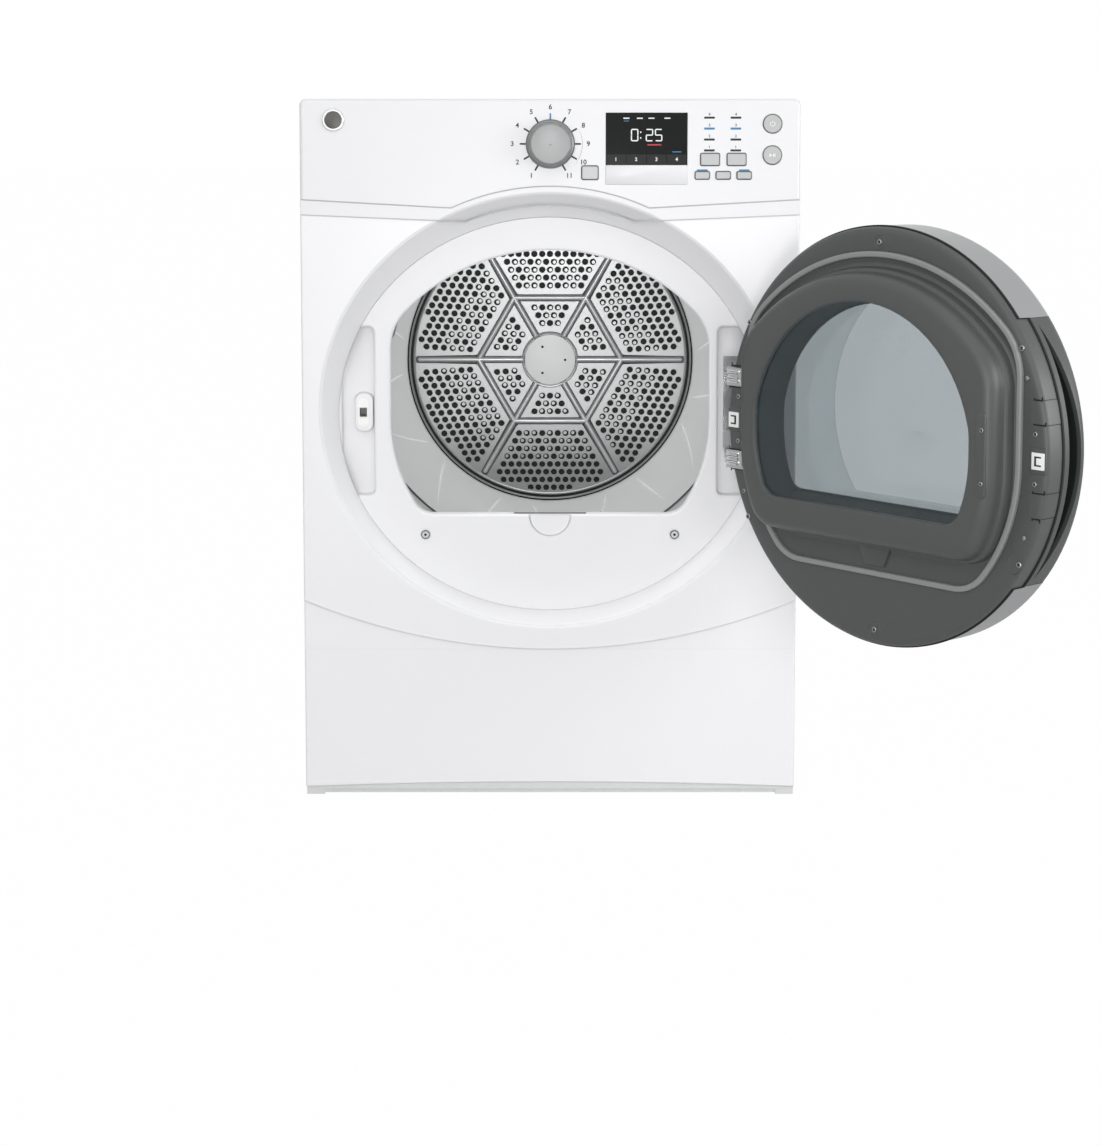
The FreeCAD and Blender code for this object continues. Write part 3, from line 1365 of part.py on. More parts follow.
def make_feet():
    """Four levelling feet on threaded stems."""
    for label, side, depth in (("foot_front_left", -1, foot_inset), ("foot_front_right", 1, foot_inset),
                               ("foot_rear_left", -1, cabinet_depth - foot_inset),
                               ("foot_rear_right", 1, cabinet_depth - foot_inset)):
        sole = rod("Z", 0, 0, 0, foot_radius, 8)
        stem = rod("Z", 0, 0, 0, foot_stem, 50)
        finish(label, fuse(sole, stem), x=side * foot_x, y=depth - cabinet_depth / 2)


# ------------------------------------------------------------------ build, check, write

def build():
    make_base_pan()
    make_side_panel("left_side_panel", -1)
    make_side_panel("right_side_panel", 1)
    make_rear_panel()
    make_top_panel()
    make_front_panel()
    make_trim_band()
    make_fascia()
    make_screen()
    make_board()
    make_badge()
    make_knob()
    for key in key_places():
        make_key(*key)
    make_bulkhead()
    make_latch()
    make_door_frame()
    make_outer_glass()
    make_liner()
    make_inner_glass()
    make_seal()
    make_handle()
    make_hinge_leaves()
    make_hinge_covers()
    make_strikes()
    make_door_screws()
    make_hinge_bracket()
    make_drum_shell()
    make_drum_back()
    make_baffles()
    make_drum_shaft()
    make_drum_seal()
    make_rear_bearing()
    make_heater()
    make_motor()
    make_rotor()
    make_blower_housing()
    make_ducts()
    make_belt()
    make_idler()
    make_filter()
    make_terminal_cover()
    make_screws()
    make_feet()


def check():
    """Stops the build if any object failed or any sub-part has no valid shape."""
    faults = [f"{obj.Label} ({obj.Name}) of {[user.Label for user in obj.InList]}: {obj.State}"
              for obj in doc.Objects if "Invalid" in obj.State or "Error" in obj.State]
    faults += [f"{piece.Label} has no valid shape" for piece in pieces
               if piece.Shape.isNull() or not piece.Shape.isValid() or piece.Shape.Volume < 1]
    if faults:
        raise RuntimeError("; ".join(faults))


def write():
    os.makedirs("parts", exist_ok=True)
    for piece in pieces:
        piece.Shape.exportStep(f"parts/{piece.Label}.step")


build()
doc.recompute()
check()
write()
for piece in pieces:
    limits = piece.Shape.BoundBox
    print(f"{piece.Label:24s} solids {len(piece.Shape.Solids):3d}"
          f"  volume {piece.Shape.Volume / 1000:9.1f} cm3"
          f"  x {limits.XMin:7.1f} {limits.XMax:7.1f}  y {limits.YMin:7.1f} {limits.YMax:7.1f}"
          f"  z {limits.ZMin:7.1f} {limits.ZMax:7.1f}")
print(len(pieces), "sub-parts")
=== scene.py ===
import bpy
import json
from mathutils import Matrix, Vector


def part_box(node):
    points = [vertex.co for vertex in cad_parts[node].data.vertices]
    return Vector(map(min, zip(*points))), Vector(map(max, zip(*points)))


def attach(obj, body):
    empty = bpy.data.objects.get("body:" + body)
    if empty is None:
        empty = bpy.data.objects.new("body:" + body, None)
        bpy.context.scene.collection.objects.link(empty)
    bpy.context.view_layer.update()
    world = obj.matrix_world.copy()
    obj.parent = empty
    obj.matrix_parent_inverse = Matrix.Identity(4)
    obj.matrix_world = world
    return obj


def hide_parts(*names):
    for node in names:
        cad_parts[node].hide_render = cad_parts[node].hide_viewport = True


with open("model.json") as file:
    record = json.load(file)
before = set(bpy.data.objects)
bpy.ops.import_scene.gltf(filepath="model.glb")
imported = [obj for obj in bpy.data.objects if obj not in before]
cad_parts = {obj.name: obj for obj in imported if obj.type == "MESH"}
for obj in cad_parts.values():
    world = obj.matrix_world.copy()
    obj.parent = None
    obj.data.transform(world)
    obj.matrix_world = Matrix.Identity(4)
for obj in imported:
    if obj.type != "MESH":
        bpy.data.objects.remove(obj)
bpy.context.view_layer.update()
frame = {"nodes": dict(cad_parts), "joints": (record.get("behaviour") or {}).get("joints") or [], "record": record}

import json
from math import asin, atan2, cos, hypot, pi, radians, sin, sqrt

import bmesh
import bpy
from mathutils import Matrix, Vector
from mathutils.geometry import delaunay_2d_cdt

# ---------------------------------------- places and sizes
# Pieces are drawn in millimetres: x to the right, y to the back, z up. Each place below
# turns such a drawing into the frame's metres.

MM = Matrix.Scale(0.001, 4)
joints = {joint["name"]: joint for joint in frame["joints"]}


def box_mm(node):
    """Low and high corners of a carried node, in millimetres."""
    return [corner * 1000 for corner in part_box(node)]


def middle_mm(node):
    low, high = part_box(node)
    return (low + high) / 2 * 1000


front_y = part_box("front_panel")[0].y
drum_axis = Vector(joints["drum_spin"]["pos_m"])
drum_sheet_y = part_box("drum_back")[1].y
hinge = Vector(joints["door_hinge"]["pos_m"])
open_angle = -radians(joints["door_hinge"]["range_deg"][0])
# How far the liner's face lies behind the hinge pins with the door shut.
LINER_BEHIND_PINS = 0.0471

on_front = Matrix.Translation((0, front_y, 0)) @ MM
on_drum = Matrix.Translation((0, drum_sheet_y, drum_axis.z)) @ MM
on_door = (Matrix.Translation(hinge) @ Matrix.Rotation(open_angle, 4, "Z")
           @ Matrix.Translation((-hinge.x, LINER_BEHIND_PINS, 0)) @ MM)
front_mm = front_y * 1000
door_z = hinge.z * 1000
# Heights at which the drum's mouth is widest and from which its top is struck.
MOUTH_WIDEST_Z = 545
MOUTH_ARC_Z = 503


# ---------------------------------------- finishes

def linear(hex_colour):
    """sRGB hex to the linear colour that a shader takes."""
    parts = [int(hex_colour[k:k + 2], 16) / 255 for k in (1, 3, 5)]
    return (*[c / 12.92 if c <= 0.04045 else ((c + 0.055) / 1.055) ** 2.4 for c in parts], 1)


# A Mix node's colour sockets share their names with its other kinds, so they go by place
MIX_LOW, MIX_HIGH, MIX_RESULT = 6, 7, 2
ROUGHNESS_DRIFT = 0.12


def add(tree, kind, sockets=(), **settings):
    """Adds a shader node, sets it up, and links each socket that is given another's output."""
    node = tree.nodes.new("ShaderNode" + kind)
    for name, value in settings.items():
        setattr(node, name, value)
    for name, value in dict(sockets).items():
        if isinstance(value, bpy.types.NodeSocket):
            tree.links.new(value, node.inputs[name])
        else:
            node.inputs[name].default_value = value
    return node


def finish_of(name, colour, roughness, grain_mm=2.0, mottle=0.04, relief_mm=0.0, rounding_mm=0.0,
              **shader):
    """Opaque finish: colour and roughness drift a little with a noise of the given grain."""
    made = bpy.data.materials.new(name)
    made.use_nodes = True
    tree = made.node_tree
    surface = tree.nodes["Principled BSDF"]
    spot = add(tree, "TexCoord").outputs["Object"]
    noise = add(tree, "TexNoise", {"Vector": spot, "Scale": 1000 / grain_mm, "Detail": 3.0})
    base = linear(colour)
    dark = tuple(c * (1 - mottle) for c in base[:3]) + (1,)
    ramp = add(tree, "Mix", {"Factor": noise.outputs["Fac"], MIX_LOW: dark, MIX_HIGH: base},
               data_type="RGBA")
    tree.links.new(ramp.outputs[MIX_RESULT], surface.inputs["Base Color"])
    rough = add(tree, "MapRange", {"Value": noise.outputs["Fac"],
                                   "To Min": roughness * (1 - ROUGHNESS_DRIFT),
                                   "To Max": roughness * (1 + ROUGHNESS_DRIFT)})
    tree.links.new(rough.outputs["Result"], surface.inputs["Roughness"])
    normal = None
    if rounding_mm:
        normal = add(tree, "Bevel", {"Radius": rounding_mm / 1000}, samples=6).outputs["Normal"]
    if relief_mm:
        bump = add(tree, "Bump", {"Height": noise.outputs["Fac"], "Strength": 0.35,
                                  "Distance": relief_mm / 1000})
        if normal:
            tree.links.new(normal, bump.inputs["Normal"])
        normal = bump.outputs["Normal"]
    if normal:
        tree.links.new(normal, surface.inputs["Normal"])
    for socket, value in shader.items():
        surface.inputs[socket.replace("_", " ")].default_value = value
    return made


def glass_of(name, colour):
    """Tinted pane that lets lamps through unbent. Each face gives half of the pane's tint."""
    made = bpy.data.materials.new(name)
    made.use_nodes = True
    tree = made.node_tree
    surface = tree.nodes["Principled BSDF"]
    noise = add(tree, "TexNoise", {"Scale": 6.0, "Detail": 1.0})
    base = linear(colour)
    dark = tuple(c * 0.97 for c in base[:3]) + (1,)
    tint = add(tree, "Mix", {"Factor": noise.outputs["Fac"], MIX_LOW: dark, MIX_HIGH: base},
               data_type="RGBA")
    tree.links.new(tint.outputs[MIX_RESULT], surface.inputs["Base Color"])
    for socket, value in (("Roughness", 0.0), ("Transmission Weight", 1.0), ("IOR", 1.45),
                          ("Specular IOR Level", 0.15)):
        surface.inputs[socket].default_value = value
    path = add(tree, "LightPath")
    lamp_rays = add(tree, "Math", {0: path.outputs["Is Shadow Ray"],
                                   1: path.outputs["Is Diffuse Ray"]}, operation="MAXIMUM")
    clear = add(tree, "BsdfTransparent")
    tree.links.new(tint.outputs[MIX_RESULT], clear.inputs["Color"])
    both = add(tree, "MixShader", {0: lamp_rays.outputs[0], 1: surface.outputs[0],
                                   2: clear.outputs[0]})
    tree.links.new(both.outputs[0], tree.nodes["Material Output"].inputs["Surface"])
    return made


# Baked white enamel on pressed sheet: even, glossy, with the faint orange peel of sprayed paint.
enamel = finish_of("white_enamel", "#F0F0F2", 0.26, grain_mm=3, mottle=0.012, relief_mm=0.02,
                   rounding_mm=3, IOR=1.5)
# Injection-moulded white ABS of the console: as white as the enamel, a little softer shine.
white_abs = finish_of("white_abs", "#E7E7E9", 0.3, grain_mm=1.5, mottle=0.01, rounding_mm=2)
# Moulded bulkhead behind the door: the same white, satin.
white_moulding = finish_of("white_satin_moulding", "#ECECEE", 0.38, grain_mm=2, mottle=0.012,
                           rounding_mm=4)
# Hot-dip zinc on the base and back: dull grey with broad spangles.
zinc = finish_of("zinc_coated_steel", "#DCDDDD", 0.45, grain_mm=9, mottle=0.08, Metallic=0.15)
# Rolled aluminised steel of the drum: bright satin metal, rolling grain too fine to see alone.
drum_metal = finish_of("aluminised_drum_steel", "#A4A6A6", 0.34, grain_mm=4, mottle=0.05,
                       Metallic=0.55)
# The same sheet burnished where the ribs are drawn, which leaves them brighter.
rib_metal = finish_of("burnished_rib_steel", "#C4C6C6", 0.3, grain_mm=4, mottle=0.04,
                      Metallic=0.45)
groove_shade = finish_of("shaded_rib_groove", "#4A4C4C", 0.5, grain_mm=4, mottle=0.1)
hub_white = finish_of("hub_plate_coating", "#D6D7D7", 0.35, grain_mm=3, mottle=0.03)
# Coated grey sheet of the barrel and the sloping ring round its end.
barrel_grey = finish_of("grey_drum_coating", "#DEDFDF", 0.42, grain_mm=3, mottle=0.02)
# Glass-filled polypropylene of the inner door: dark warm grey, satin with a fine spark texture.
dark_moulding = finish_of("dark_grey_moulding", "#4F5151", 0.42, grain_mm=1.2, mottle=0.06,
                          relief_mm=0.03, rounding_mm=1)
# The same plastic polished where the hand goes.
grip_plastic = finish_of("dark_grip_plastic", "#4A4C4C", 0.4, grain_mm=1.2, mottle=0.05,
                         rounding_mm=1)
channel_black = finish_of("deep_grip_channel", "#191C1C", 0.6, grain_mm=1.2, mottle=0.1)
# Silver lacquer over ABS: small metal flakes, so a soft wide shine.
silver_lacquer = finish_of("silver_lacquer", "#A9ABAC", 0.34, grain_mm=0.8, mottle=0.1,
                           Metallic=0.75, Coat_Weight=0.4)
# Satin-chromed plastic of the knob and badge.
satin_chrome = finish_of("satin_chrome", "#C6C8C8", 0.28, grain_mm=0.6, mottle=0.08,
                         Metallic=0.9)
# Satin silver lacquer of the knob, spun so its shine is soft.
knob_silver = finish_of("spun_knob_silver", "#959797", 0.42, grain_mm=0.6, mottle=0.06,
                        Metallic=0.6)
# Silver-grey moulded keys.
key_plastic = finish_of("silver_key_plastic", "#ABACAC", 0.36, grain_mm=0.8, mottle=0.05,
                        rounding_mm=0.8, Metallic=0.3)
# Bright chrome of the hinges.
chrome = finish_of("bright_chrome", "#D4D6D6", 0.12, grain_mm=2, mottle=0.05, Metallic=1.0)
# Zinc-plated screw heads.
screw_zinc = finish_of("plated_screw", "#A6A8A8", 0.3, grain_mm=0.8, mottle=0.1, Metallic=0.9)
# Silicone lip of the door.
silicone = finish_of("grey_silicone", "#8E9090", 0.5, grain_mm=1, mottle=0.04)
# Moulded rubber of the feet and belt.
rubber = finish_of("black_rubber", "#2A2B2B", 0.7, grain_mm=1, mottle=0.15, relief_mm=0.05)
# Pressed wool felt: fibres about 2 mm long.
felt = finish_of("grey_felt", "#BDBCB8", 0.9, grain_mm=2, mottle=0.25, relief_mm=0.3)
white_nylon = finish_of("white_nylon", "#F4F4F2", 0.35, grain_mm=1, mottle=0.015)
grey_nylon = finish_of("grey_nylon", "#9EA0A0", 0.42, grain_mm=1, mottle=0.04)
# Gloss black behind the display glass.
black_acrylic = finish_of("black_display_acrylic", "#101312", 0.1, grain_mm=6, mottle=0.05,
                          Specular_IOR_Level=0.25)
touch_black = finish_of("black_touch_strip", "#0A0C0C", 0.3, grain_mm=4, mottle=0.05,
                        Specular_IOR_Level=0.2)
# Near-black of dark openings and joints; behind the drum's holes, in the door's gap and in the door's screw
# sockets it is painted shade.
hole_black = finish_of("dark_opening", "#0B0C0C", 0.7, grain_mm=2, mottle=0.1)
dark_ink = finish_of("dark_grey_ink", "#1C1D1E", 0.5, grain_mm=0.6, mottle=0.08)
grey_ink = finish_of("mid_grey_ink", "#8A8C8E", 0.5, grain_mm=0.6, mottle=0.06)
blue_ink = finish_of("blue_ink", "#2E7FB8", 0.45, grain_mm=0.6, mottle=0.06)
white_ink = finish_of("white_ink", "#F2F4F4", 0.5, grain_mm=0.6, mottle=0.04)
red_ink = finish_of("red_ink", "#C5313A", 0.5, grain_mm=0.6, mottle=0.05)
circuit_green = finish_of("circuit_board", "#2F5B3C", 0.4, grain_mm=3, mottle=0.2)
nichrome = finish_of("nichrome_wire", "#6D5B4E", 0.5, grain_mm=1, mottle=0.2, Metallic=0.7)
black_steel = finish_of("black_painted_steel", "#303233", 0.4, grain_mm=2, mottle=0.1)
# Clear polycarbonate window with a blue-grey tint.
window_tint = glass_of("blue_grey_window", "#D4DBDE")
cover_tint = glass_of("tinted_cover", "#C9CCCD")
print_tint = glass_of("tinted_print", "#E2E5E6")
teal_well = finish_of("teal_window_wall", "#183339", 0.6, grain_mm=4, mottle=0.06,
                      Specular_IOR_Level=0.1)
# Near-white on the folds pressed in the ring round the drum's end: painted highlight, as if each fold caught the
# light.
fold_highlight_white = finish_of("painted_fold_highlight", "#FDFEFE", 0.22, grain_mm=2, mottle=0.01)
# Dark bezel moulded round each key.
bezel_grey = finish_of("dark_key_bezel", "#707273", 0.35, grain_mm=0.8, mottle=0.06, Metallic=0.4)
# Pewter-coloured enamel in the middle of the badge.
badge_enamel = finish_of("pewter_badge", "#55534F", 0.35, grain_mm=0.8, mottle=0.2, Metallic=0.3)
seam_grey = finish_of("shaded_seam", "#B9BABB", 0.6, grain_mm=2, mottle=0.03)

SLOT_FINISH = {
    "enamel_white": enamel, "moulded_white": white_abs, "bulkhead_white": white_moulding,
    "galvanised": zinc, "drum_steel": barrel_grey, "dark_plastic": dark_moulding,
    "silver_ring": silver_lacquer, "door_glass": window_tint, "dark_glass": cover_tint,
    "display_black": black_acrylic, "satin_silver": satin_chrome, "key_silver": key_plastic,
    "seal_rubber": silicone, "felt": felt, "black_rubber": rubber, "chromed": chrome,
    "steel": screw_zinc, "board_green": circuit_green, "white_plastic": white_nylon,
    "grey_plastic": grey_nylon, "coil_wire": nichrome, "blower_plastic": grey_nylon,
    "black_steel": black_steel}

for subpart in frame["record"]["subparts"]:
    carried = frame["nodes"][subpart["node"]]
    chosen = SLOT_FINISH[subpart["material_slot"]]
    for place in range(max(1, len(carried.material_slots))):
        if carried.material_slots:
            carried.material_slots[place].material = chosen
        else:
            carried.data.materials.append(chosen)
frame["nodes"]["door_handle"].material_slots[0].material = grip_plastic
frame["nodes"]["cycle_knob"].material_slots[0].material = knob_silver


# ---------------------------------------- drawing

def arc(cx, cz, radius, start, end, steps):
    """Points on an arc from one angle to another, both ends included."""
    return [(cx + radius * cos(start + (end - start) * k / steps),
             cz + radius * sin(start + (end - start) * k / steps)) for k in range(steps + 1)]


def round_outline(radius, cx=0, cz=0, steps=64):
    return arc(cx, cz, radius, 0, 2 * pi, steps)[:-1]


def bar(x0, z0, x1, z1):
    return [(x0, z0), (x1, z0), (x1, z1), (x0, z1)]


def rounded_outline(x0, z0, x1, z1, r, inset=0.0):
    r = max(r - inset, 0.05)
    x0, z0, x1, z1 = x0 + inset + r, z0 + inset + r, x1 - inset - r, z1 - inset - r
    return (arc(x1, z0, r, -pi / 2, 0, 5) + arc(x1, z1, r, 0, pi / 2, 5)
            + arc(x0, z1, r, pi / 2, pi, 5) + arc(x0, z0, r, pi, 3 * pi / 2, 5))


def stadium(start, end, reach):
    """Outline at one distance from a straight line, round at both ends."""
    lean = atan2(end[1] - start[1], end[0] - start[0])
    return (arc(*end, reach, lean - pi / 2, lean + pi / 2, 8)
            + arc(*start, reach, lean + pi / 2, lean + 3 * pi / 2, 8))


def dee(half, floor, low_z, top_arc, arc_z, low_corner, top_corner, inset=0.0):
    """D-shaped outline: flat floor, round lower sides, upright sides and an arched top."""
    low_x = sqrt((half - low_corner) ** 2 - (low_z - floor - low_corner) ** 2)
    lean = atan2(floor + low_corner - low_z, low_x)
    top_x = half - top_corner
    top_z = sqrt((top_arc - top_corner) ** 2 - top_x ** 2)
    rise = atan2(top_z, top_x)
    right = ([(low_x * k / 6, floor + inset) for k in range(6)]
             + arc(low_x, floor + low_corner, low_corner - inset, -pi / 2, lean, 8)
             + arc(0, low_z, half - inset, lean, 0, 14)
             + arc(top_x, arc_z + top_z, top_corner - inset, 0, rise, 12)
             + arc(0, arc_z, top_arc - inset, rise, pi / 2, 14))
    return right + [(-x, z) for x, z in reversed(right[1:-1])]


def window(inset=0.0):
    """The window in the plug, drawn about the door's centre."""
    return dee(half=187, floor=-92.5, low_z=-3, top_arc=190, arc_z=-7, low_corner=28,
               top_corner=80, inset=inset)


def plug(inset=0.0):
    """The hollow plug of the inner door that fills the drum's mouth."""
    return dee(half=226.8, floor=-145, low_z=MOUTH_WIDEST_Z - door_z, top_arc=285,
               arc_z=MOUTH_ARC_Z - door_z, low_corner=48, top_corner=80, inset=inset)


def cast(outline, angles):
    """Where rays from the centre, at the given angles, meet an outline."""
    corners = sorted((atan2(z, x) % (2 * pi), x, z) for x, z in outline)
    corners.append((corners[0][0] + 2 * pi, *corners[0][1:]))
    found = []
    for angle in angles:
        turned = angle % (2 * pi)
        turned += 2 * pi if turned < corners[0][0] else 0
        (_, x0, z0), (_, x1, z1) = next((a, b) for a, b in zip(corners, corners[1:])
                                        if turned <= b[0])
        c, s = cos(turned), sin(turned)
        share = (x0 * s - z0 * c) / ((z1 - z0) * c - (x1 - x0) * s)
        found.append((x0 + (x1 - x0) * share, z0 + (z1 - z0) * share))
    return found


def at_depth(outline, y):
    return [(x, y, z) for x, z in outline]


# Sideways and upward share of a raised line's section, from one foot over to the other.
BEAD_SECTION = ((-1, -0.1), (-0.55, 0.75), (0, 1), (0.55, 0.75), (1, -0.1))


class Drawing:
    """Vertices and faces of one piece, in millimetres."""

    def __init__(self):
        self.verts, self.faces = [], []

    def add(self, points):
        first = len(self.verts)
        self.verts += [tuple(p) for p in points]
        return list(range(first, len(self.verts)))

    def join(self, ring_a, ring_b, closed=True):
        count = len(ring_a)
        for k in range(count if closed else count - 1):
            n = (k + 1) % count
            self.faces.append((ring_a[k], ring_a[n], ring_b[n], ring_b[k]))

    def loft(self, loops, first_cap=False, last_cap=False, closed=True):
        rings = [self.add(loop) for loop in loops]
        for ring_a, ring_b in zip(rings, rings[1:]):
            self.join(ring_a, ring_b, closed)
        if first_cap:
            self.faces.append(tuple(reversed(rings[0])))
        if last_cap:
            self.faces.append(tuple(rings[-1]))
        return self

    def raised(self, shape, base, top, edge):
        """Solid on a surface, with a rounded rim; shape(inset) gives its outline."""
        away = 1 if top > base else -1
        rim = [(0, base), (0, top - away * edge), (edge * 0.3, top - away * edge * 0.3),
               (edge, top)]
        return self.loft([at_depth(shape(inset), y) for inset, y in rim], True, True)

    def turned(self, profile, cx=0, cz=0, steps=64, first_cap=False, last_cap=False):
        """Profile of radius and depth, turned round an axis that runs to the back."""
        return self.loft([at_depth(round_outline(r, cx, cz, steps), y) for r, y in profile],
                         first_cap, last_cap)

    def bead(self, path, width, height, base, taper=True):
        """Raised line on the surface at depth base; it stands up towards the front."""
        count = len(path)
        rows = []
        for k in range(count):
            x, z = path[k]
            before, after = path[max(k - 1, 0)], path[min(k + 1, count - 1)]
            run = hypot(after[0] - before[0], after[1] - before[1])
            nx, nz = -(after[1] - before[1]) / run, (after[0] - before[0]) / run
            full = min(1, 4 * min(k, count - 1 - k) / (count - 1)) if taper else 1
            full = max(full, 0.05)
            rows.append([(x + nx * s * width / 2 * full, base - height * h * full,
                          z + nz * s * width / 2 * full) for s, h in BEAD_SECTION])
        return self.loft(rows, closed=False)


def in_scene(made):
    bpy.context.scene.collection.objects.link(made)
    return made


# Points closer than this are one point, and edges sharper than this stay crisp.
WELD_M = 2e-6
SHARP_ANGLE = radians(35)


def piece(name, drawn, finish, body="cabinet", place=on_front, stands_for=()):
    """Turns a drawing into an object that rides a body."""
    mesh = bpy.data.meshes.new(name)
    mesh.from_pydata([place @ Vector(v) for v in drawn.verts], [], drawn.faces)
    build = bmesh.new()
    build.from_mesh(mesh)
    bmesh.ops.remove_doubles(build, verts=build.verts, dist=WELD_M)
    bmesh.ops.recalc_face_normals(build, faces=build.faces)
    build.to_mesh(mesh)
    build.free()
    mesh.materials.append(finish)
    mesh.shade_smooth()
    mesh.set_sharp_from_angle(angle=SHARP_ANGLE)
    made = in_scene(bpy.data.objects.new(name, mesh))
    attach(made, body)
    if stands_for:
        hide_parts(*stands_for)


def drum_piece(name, drawn, finish, stands_for=()):
    piece(name, drawn, finish, "drum", on_drum, stands_for)


def door_piece(name, drawn, finish, stands_for=()):
    piece(name, drawn, finish, "door", on_door, stands_for)


def printed(name, outlines, finish, body="cabinet", y=0.0, place=on_front,
            proud=-0.12):
    """Thin print or film on the surface at depth y."""
    drawn = Drawing()
    for outline in outlines:
        drawn.loft([at_depth(outline, y), at_depth(outline, y + proud)], False, True)
    piece(name, drawn, finish, body, place)


# Type size over the height of its figures.
FIGURE_TO_SIZE = 1.38


def lettered(name, text, x, z, height, finish, y=0.0):
    """Numerals set as a thin raised print on the cabinet, centred on a point of the front."""
    curve = bpy.data.curves.new(name, "FONT")
    curve.body = text
    curve.align_x, curve.align_y = "CENTER", "CENTER"
    curve.size = height * FIGURE_TO_SIZE / 1000
    curve.extrude, curve.offset = 0.00005, 0.00003 * height
    curve.materials.append(finish)
    made = in_scene(bpy.data.objects.new(name, curve))
    made.matrix_world = (Matrix.Translation(on_front @ Vector((x, y - 0.06, z)))
                         @ Matrix.Rotation(pi / 2, 4, "X"))
    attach(made, "cabinet")


def polar(radius, degrees_round, cx=0, cz=0):
    """Point at a radius and an angle in degrees round a middle."""
    angle = radians(degrees_round)
    return cx + radius * cos(angle), cz + radius * sin(angle)


def turn_points(points, angle):
    c, s = cos(angle), sin(angle)
    return [(x * c - z * s, x * s + z * c) for x, z in points]


# ---------------------------------------- drum end

# Holes of the perforated end, and the panels, triangles, ribs and hub that divide it.
HOLE_PITCH = 13.4
HOLE_ROW_STEP = 13.5
HOLE_RADIUS = 5.1
HOLE_ROLL = 0.7
HOLE_SIDES = 14
RIB_HALF = 6.35
HEXAGON_CORNER = 123
PLATE_EDGE = 231.4
SPOKE_ENDS = (48, 224)
SHEET_Y = -2.6
PANEL_CORNER = 4
TRIANGLE_CORNER = 3
TRIANGLE_HUB = 43


def rows_of_holes(first_height, counts):
    """Staggered rows of holes above the drum's centre."""
    for row, count in enumerate(counts):
        for k in range(count):
            yield (k - (count - 1) / 2) * HOLE_PITCH, first_height + row * HOLE_ROW_STEP


def perforated(outline, holes):
    """Flat panel with a rolled rim round each of its holes."""
    reach = HOLE_RADIUS + HOLE_ROLL
    loops = [outline] + [round_outline(reach, x, z, HOLE_SIDES) for x, z in holes]
    corners, edges = [], []
    for loop in loops:
        first, count = len(corners), len(loop)
        corners += [Vector(point) for point in loop]
        edges += [(first + k, first + (k + 1) % count) for k in range(count)]
    points, _, found, *_ = delaunay_2d_cdt(corners, edges, [], 1, 0.0001)
    drawn = Drawing()
    drawn.add([(p.x, 0, p.y) for p in points])
    for face in found:
        middle = sum((points[v] for v in face), Vector((0, 0))) / len(face)
        if all(hypot(middle.x - x, middle.y - z) > reach - 0.25 for x, z in holes):
            drawn.faces.append(tuple(face))
    rolled = [(reach, 0.01), (HOLE_RADIUS + 0.25, 0.15), (HOLE_RADIUS, 0.6), (HOLE_RADIUS, 1.3)]
    for x, z in holes:
        drawn.turned(rolled, x, z, HOLE_SIDES)
    return drawn


def six_times(drawn, once):
    """Adds a drawing to another six times, turned round the drum's axis."""
    for k in range(6):
        turned = turn_points([(x, z) for x, _, z in once.verts], k * pi / 3)
        ring = drawn.add([(x, y + SHEET_Y, z) for (x, z), (_, y, _) in zip(turned, once.verts)])
        drawn.faces += [tuple(ring[v] for v in face) for face in once.faces]


def sector_outline(apothem_in, reach, gap):
    """Panel between two spokes, from a hexagon side out to an arc, above the drum's centre."""
    slope, corner = pi / 3, PANEL_CORNER
    foot_x = apothem_in / sin(slope) * cos(slope) - gap / sin(slope)
    bend = slope + asin(gap / reach)
    top = arc(0, 0, reach, bend, pi - bend, 28)
    return [(-foot_x + corner, apothem_in), (foot_x - corner, apothem_in),
            (foot_x - corner * 0.2, apothem_in + corner * 0.8), *top,
            (-foot_x + corner * 0.2, apothem_in + corner * 0.8)]


def inner_outline(apothem_out, hub, gap):
    """Triangle between two spokes and a hexagon side, cut round the hub."""
    slope, corner = pi / 3, TRIANGLE_CORNER
    foot_x = apothem_out / sin(slope) * cos(slope) - gap / sin(slope)
    spread = pi / 6 - atan2(gap, sqrt(hub ** 2 - gap ** 2))
    low = arc(0, 0, hub, pi / 2 - spread, pi / 2 + spread, 8)
    return [(foot_x - corner * 0.2, apothem_out - corner * 0.8), (foot_x - corner, apothem_out),
            (-foot_x + corner, apothem_out), (-foot_x + corner * 0.2, apothem_out - corner * 0.8),
            *reversed(low)]


side_apothem = HEXAGON_CORNER * cos(pi / 6)
outer_holes = [hole for hole in rows_of_holes(128, (9, 10, 11, 12, 13, 14, 13, 6))
               if hypot(*hole) < PLATE_EDGE - HOLE_RADIUS]
inner_holes = list(rows_of_holes(63, (3, 4, 5)))
panel = sector_outline(side_apothem + RIB_HALF - 1, PLATE_EDGE + 2, RIB_HALF - 0.6)
triangle = inner_outline(side_apothem - RIB_HALF + 1, TRIANGLE_HUB, RIB_HALF - 0.6)
drum_end = Drawing()
six_times(drum_end, perforated(panel, outer_holes))
six_times(drum_end, perforated(triangle, inner_holes))
drum_piece("drum_end_perforated", drum_end, drum_metal, stands_for=("drum_back",))

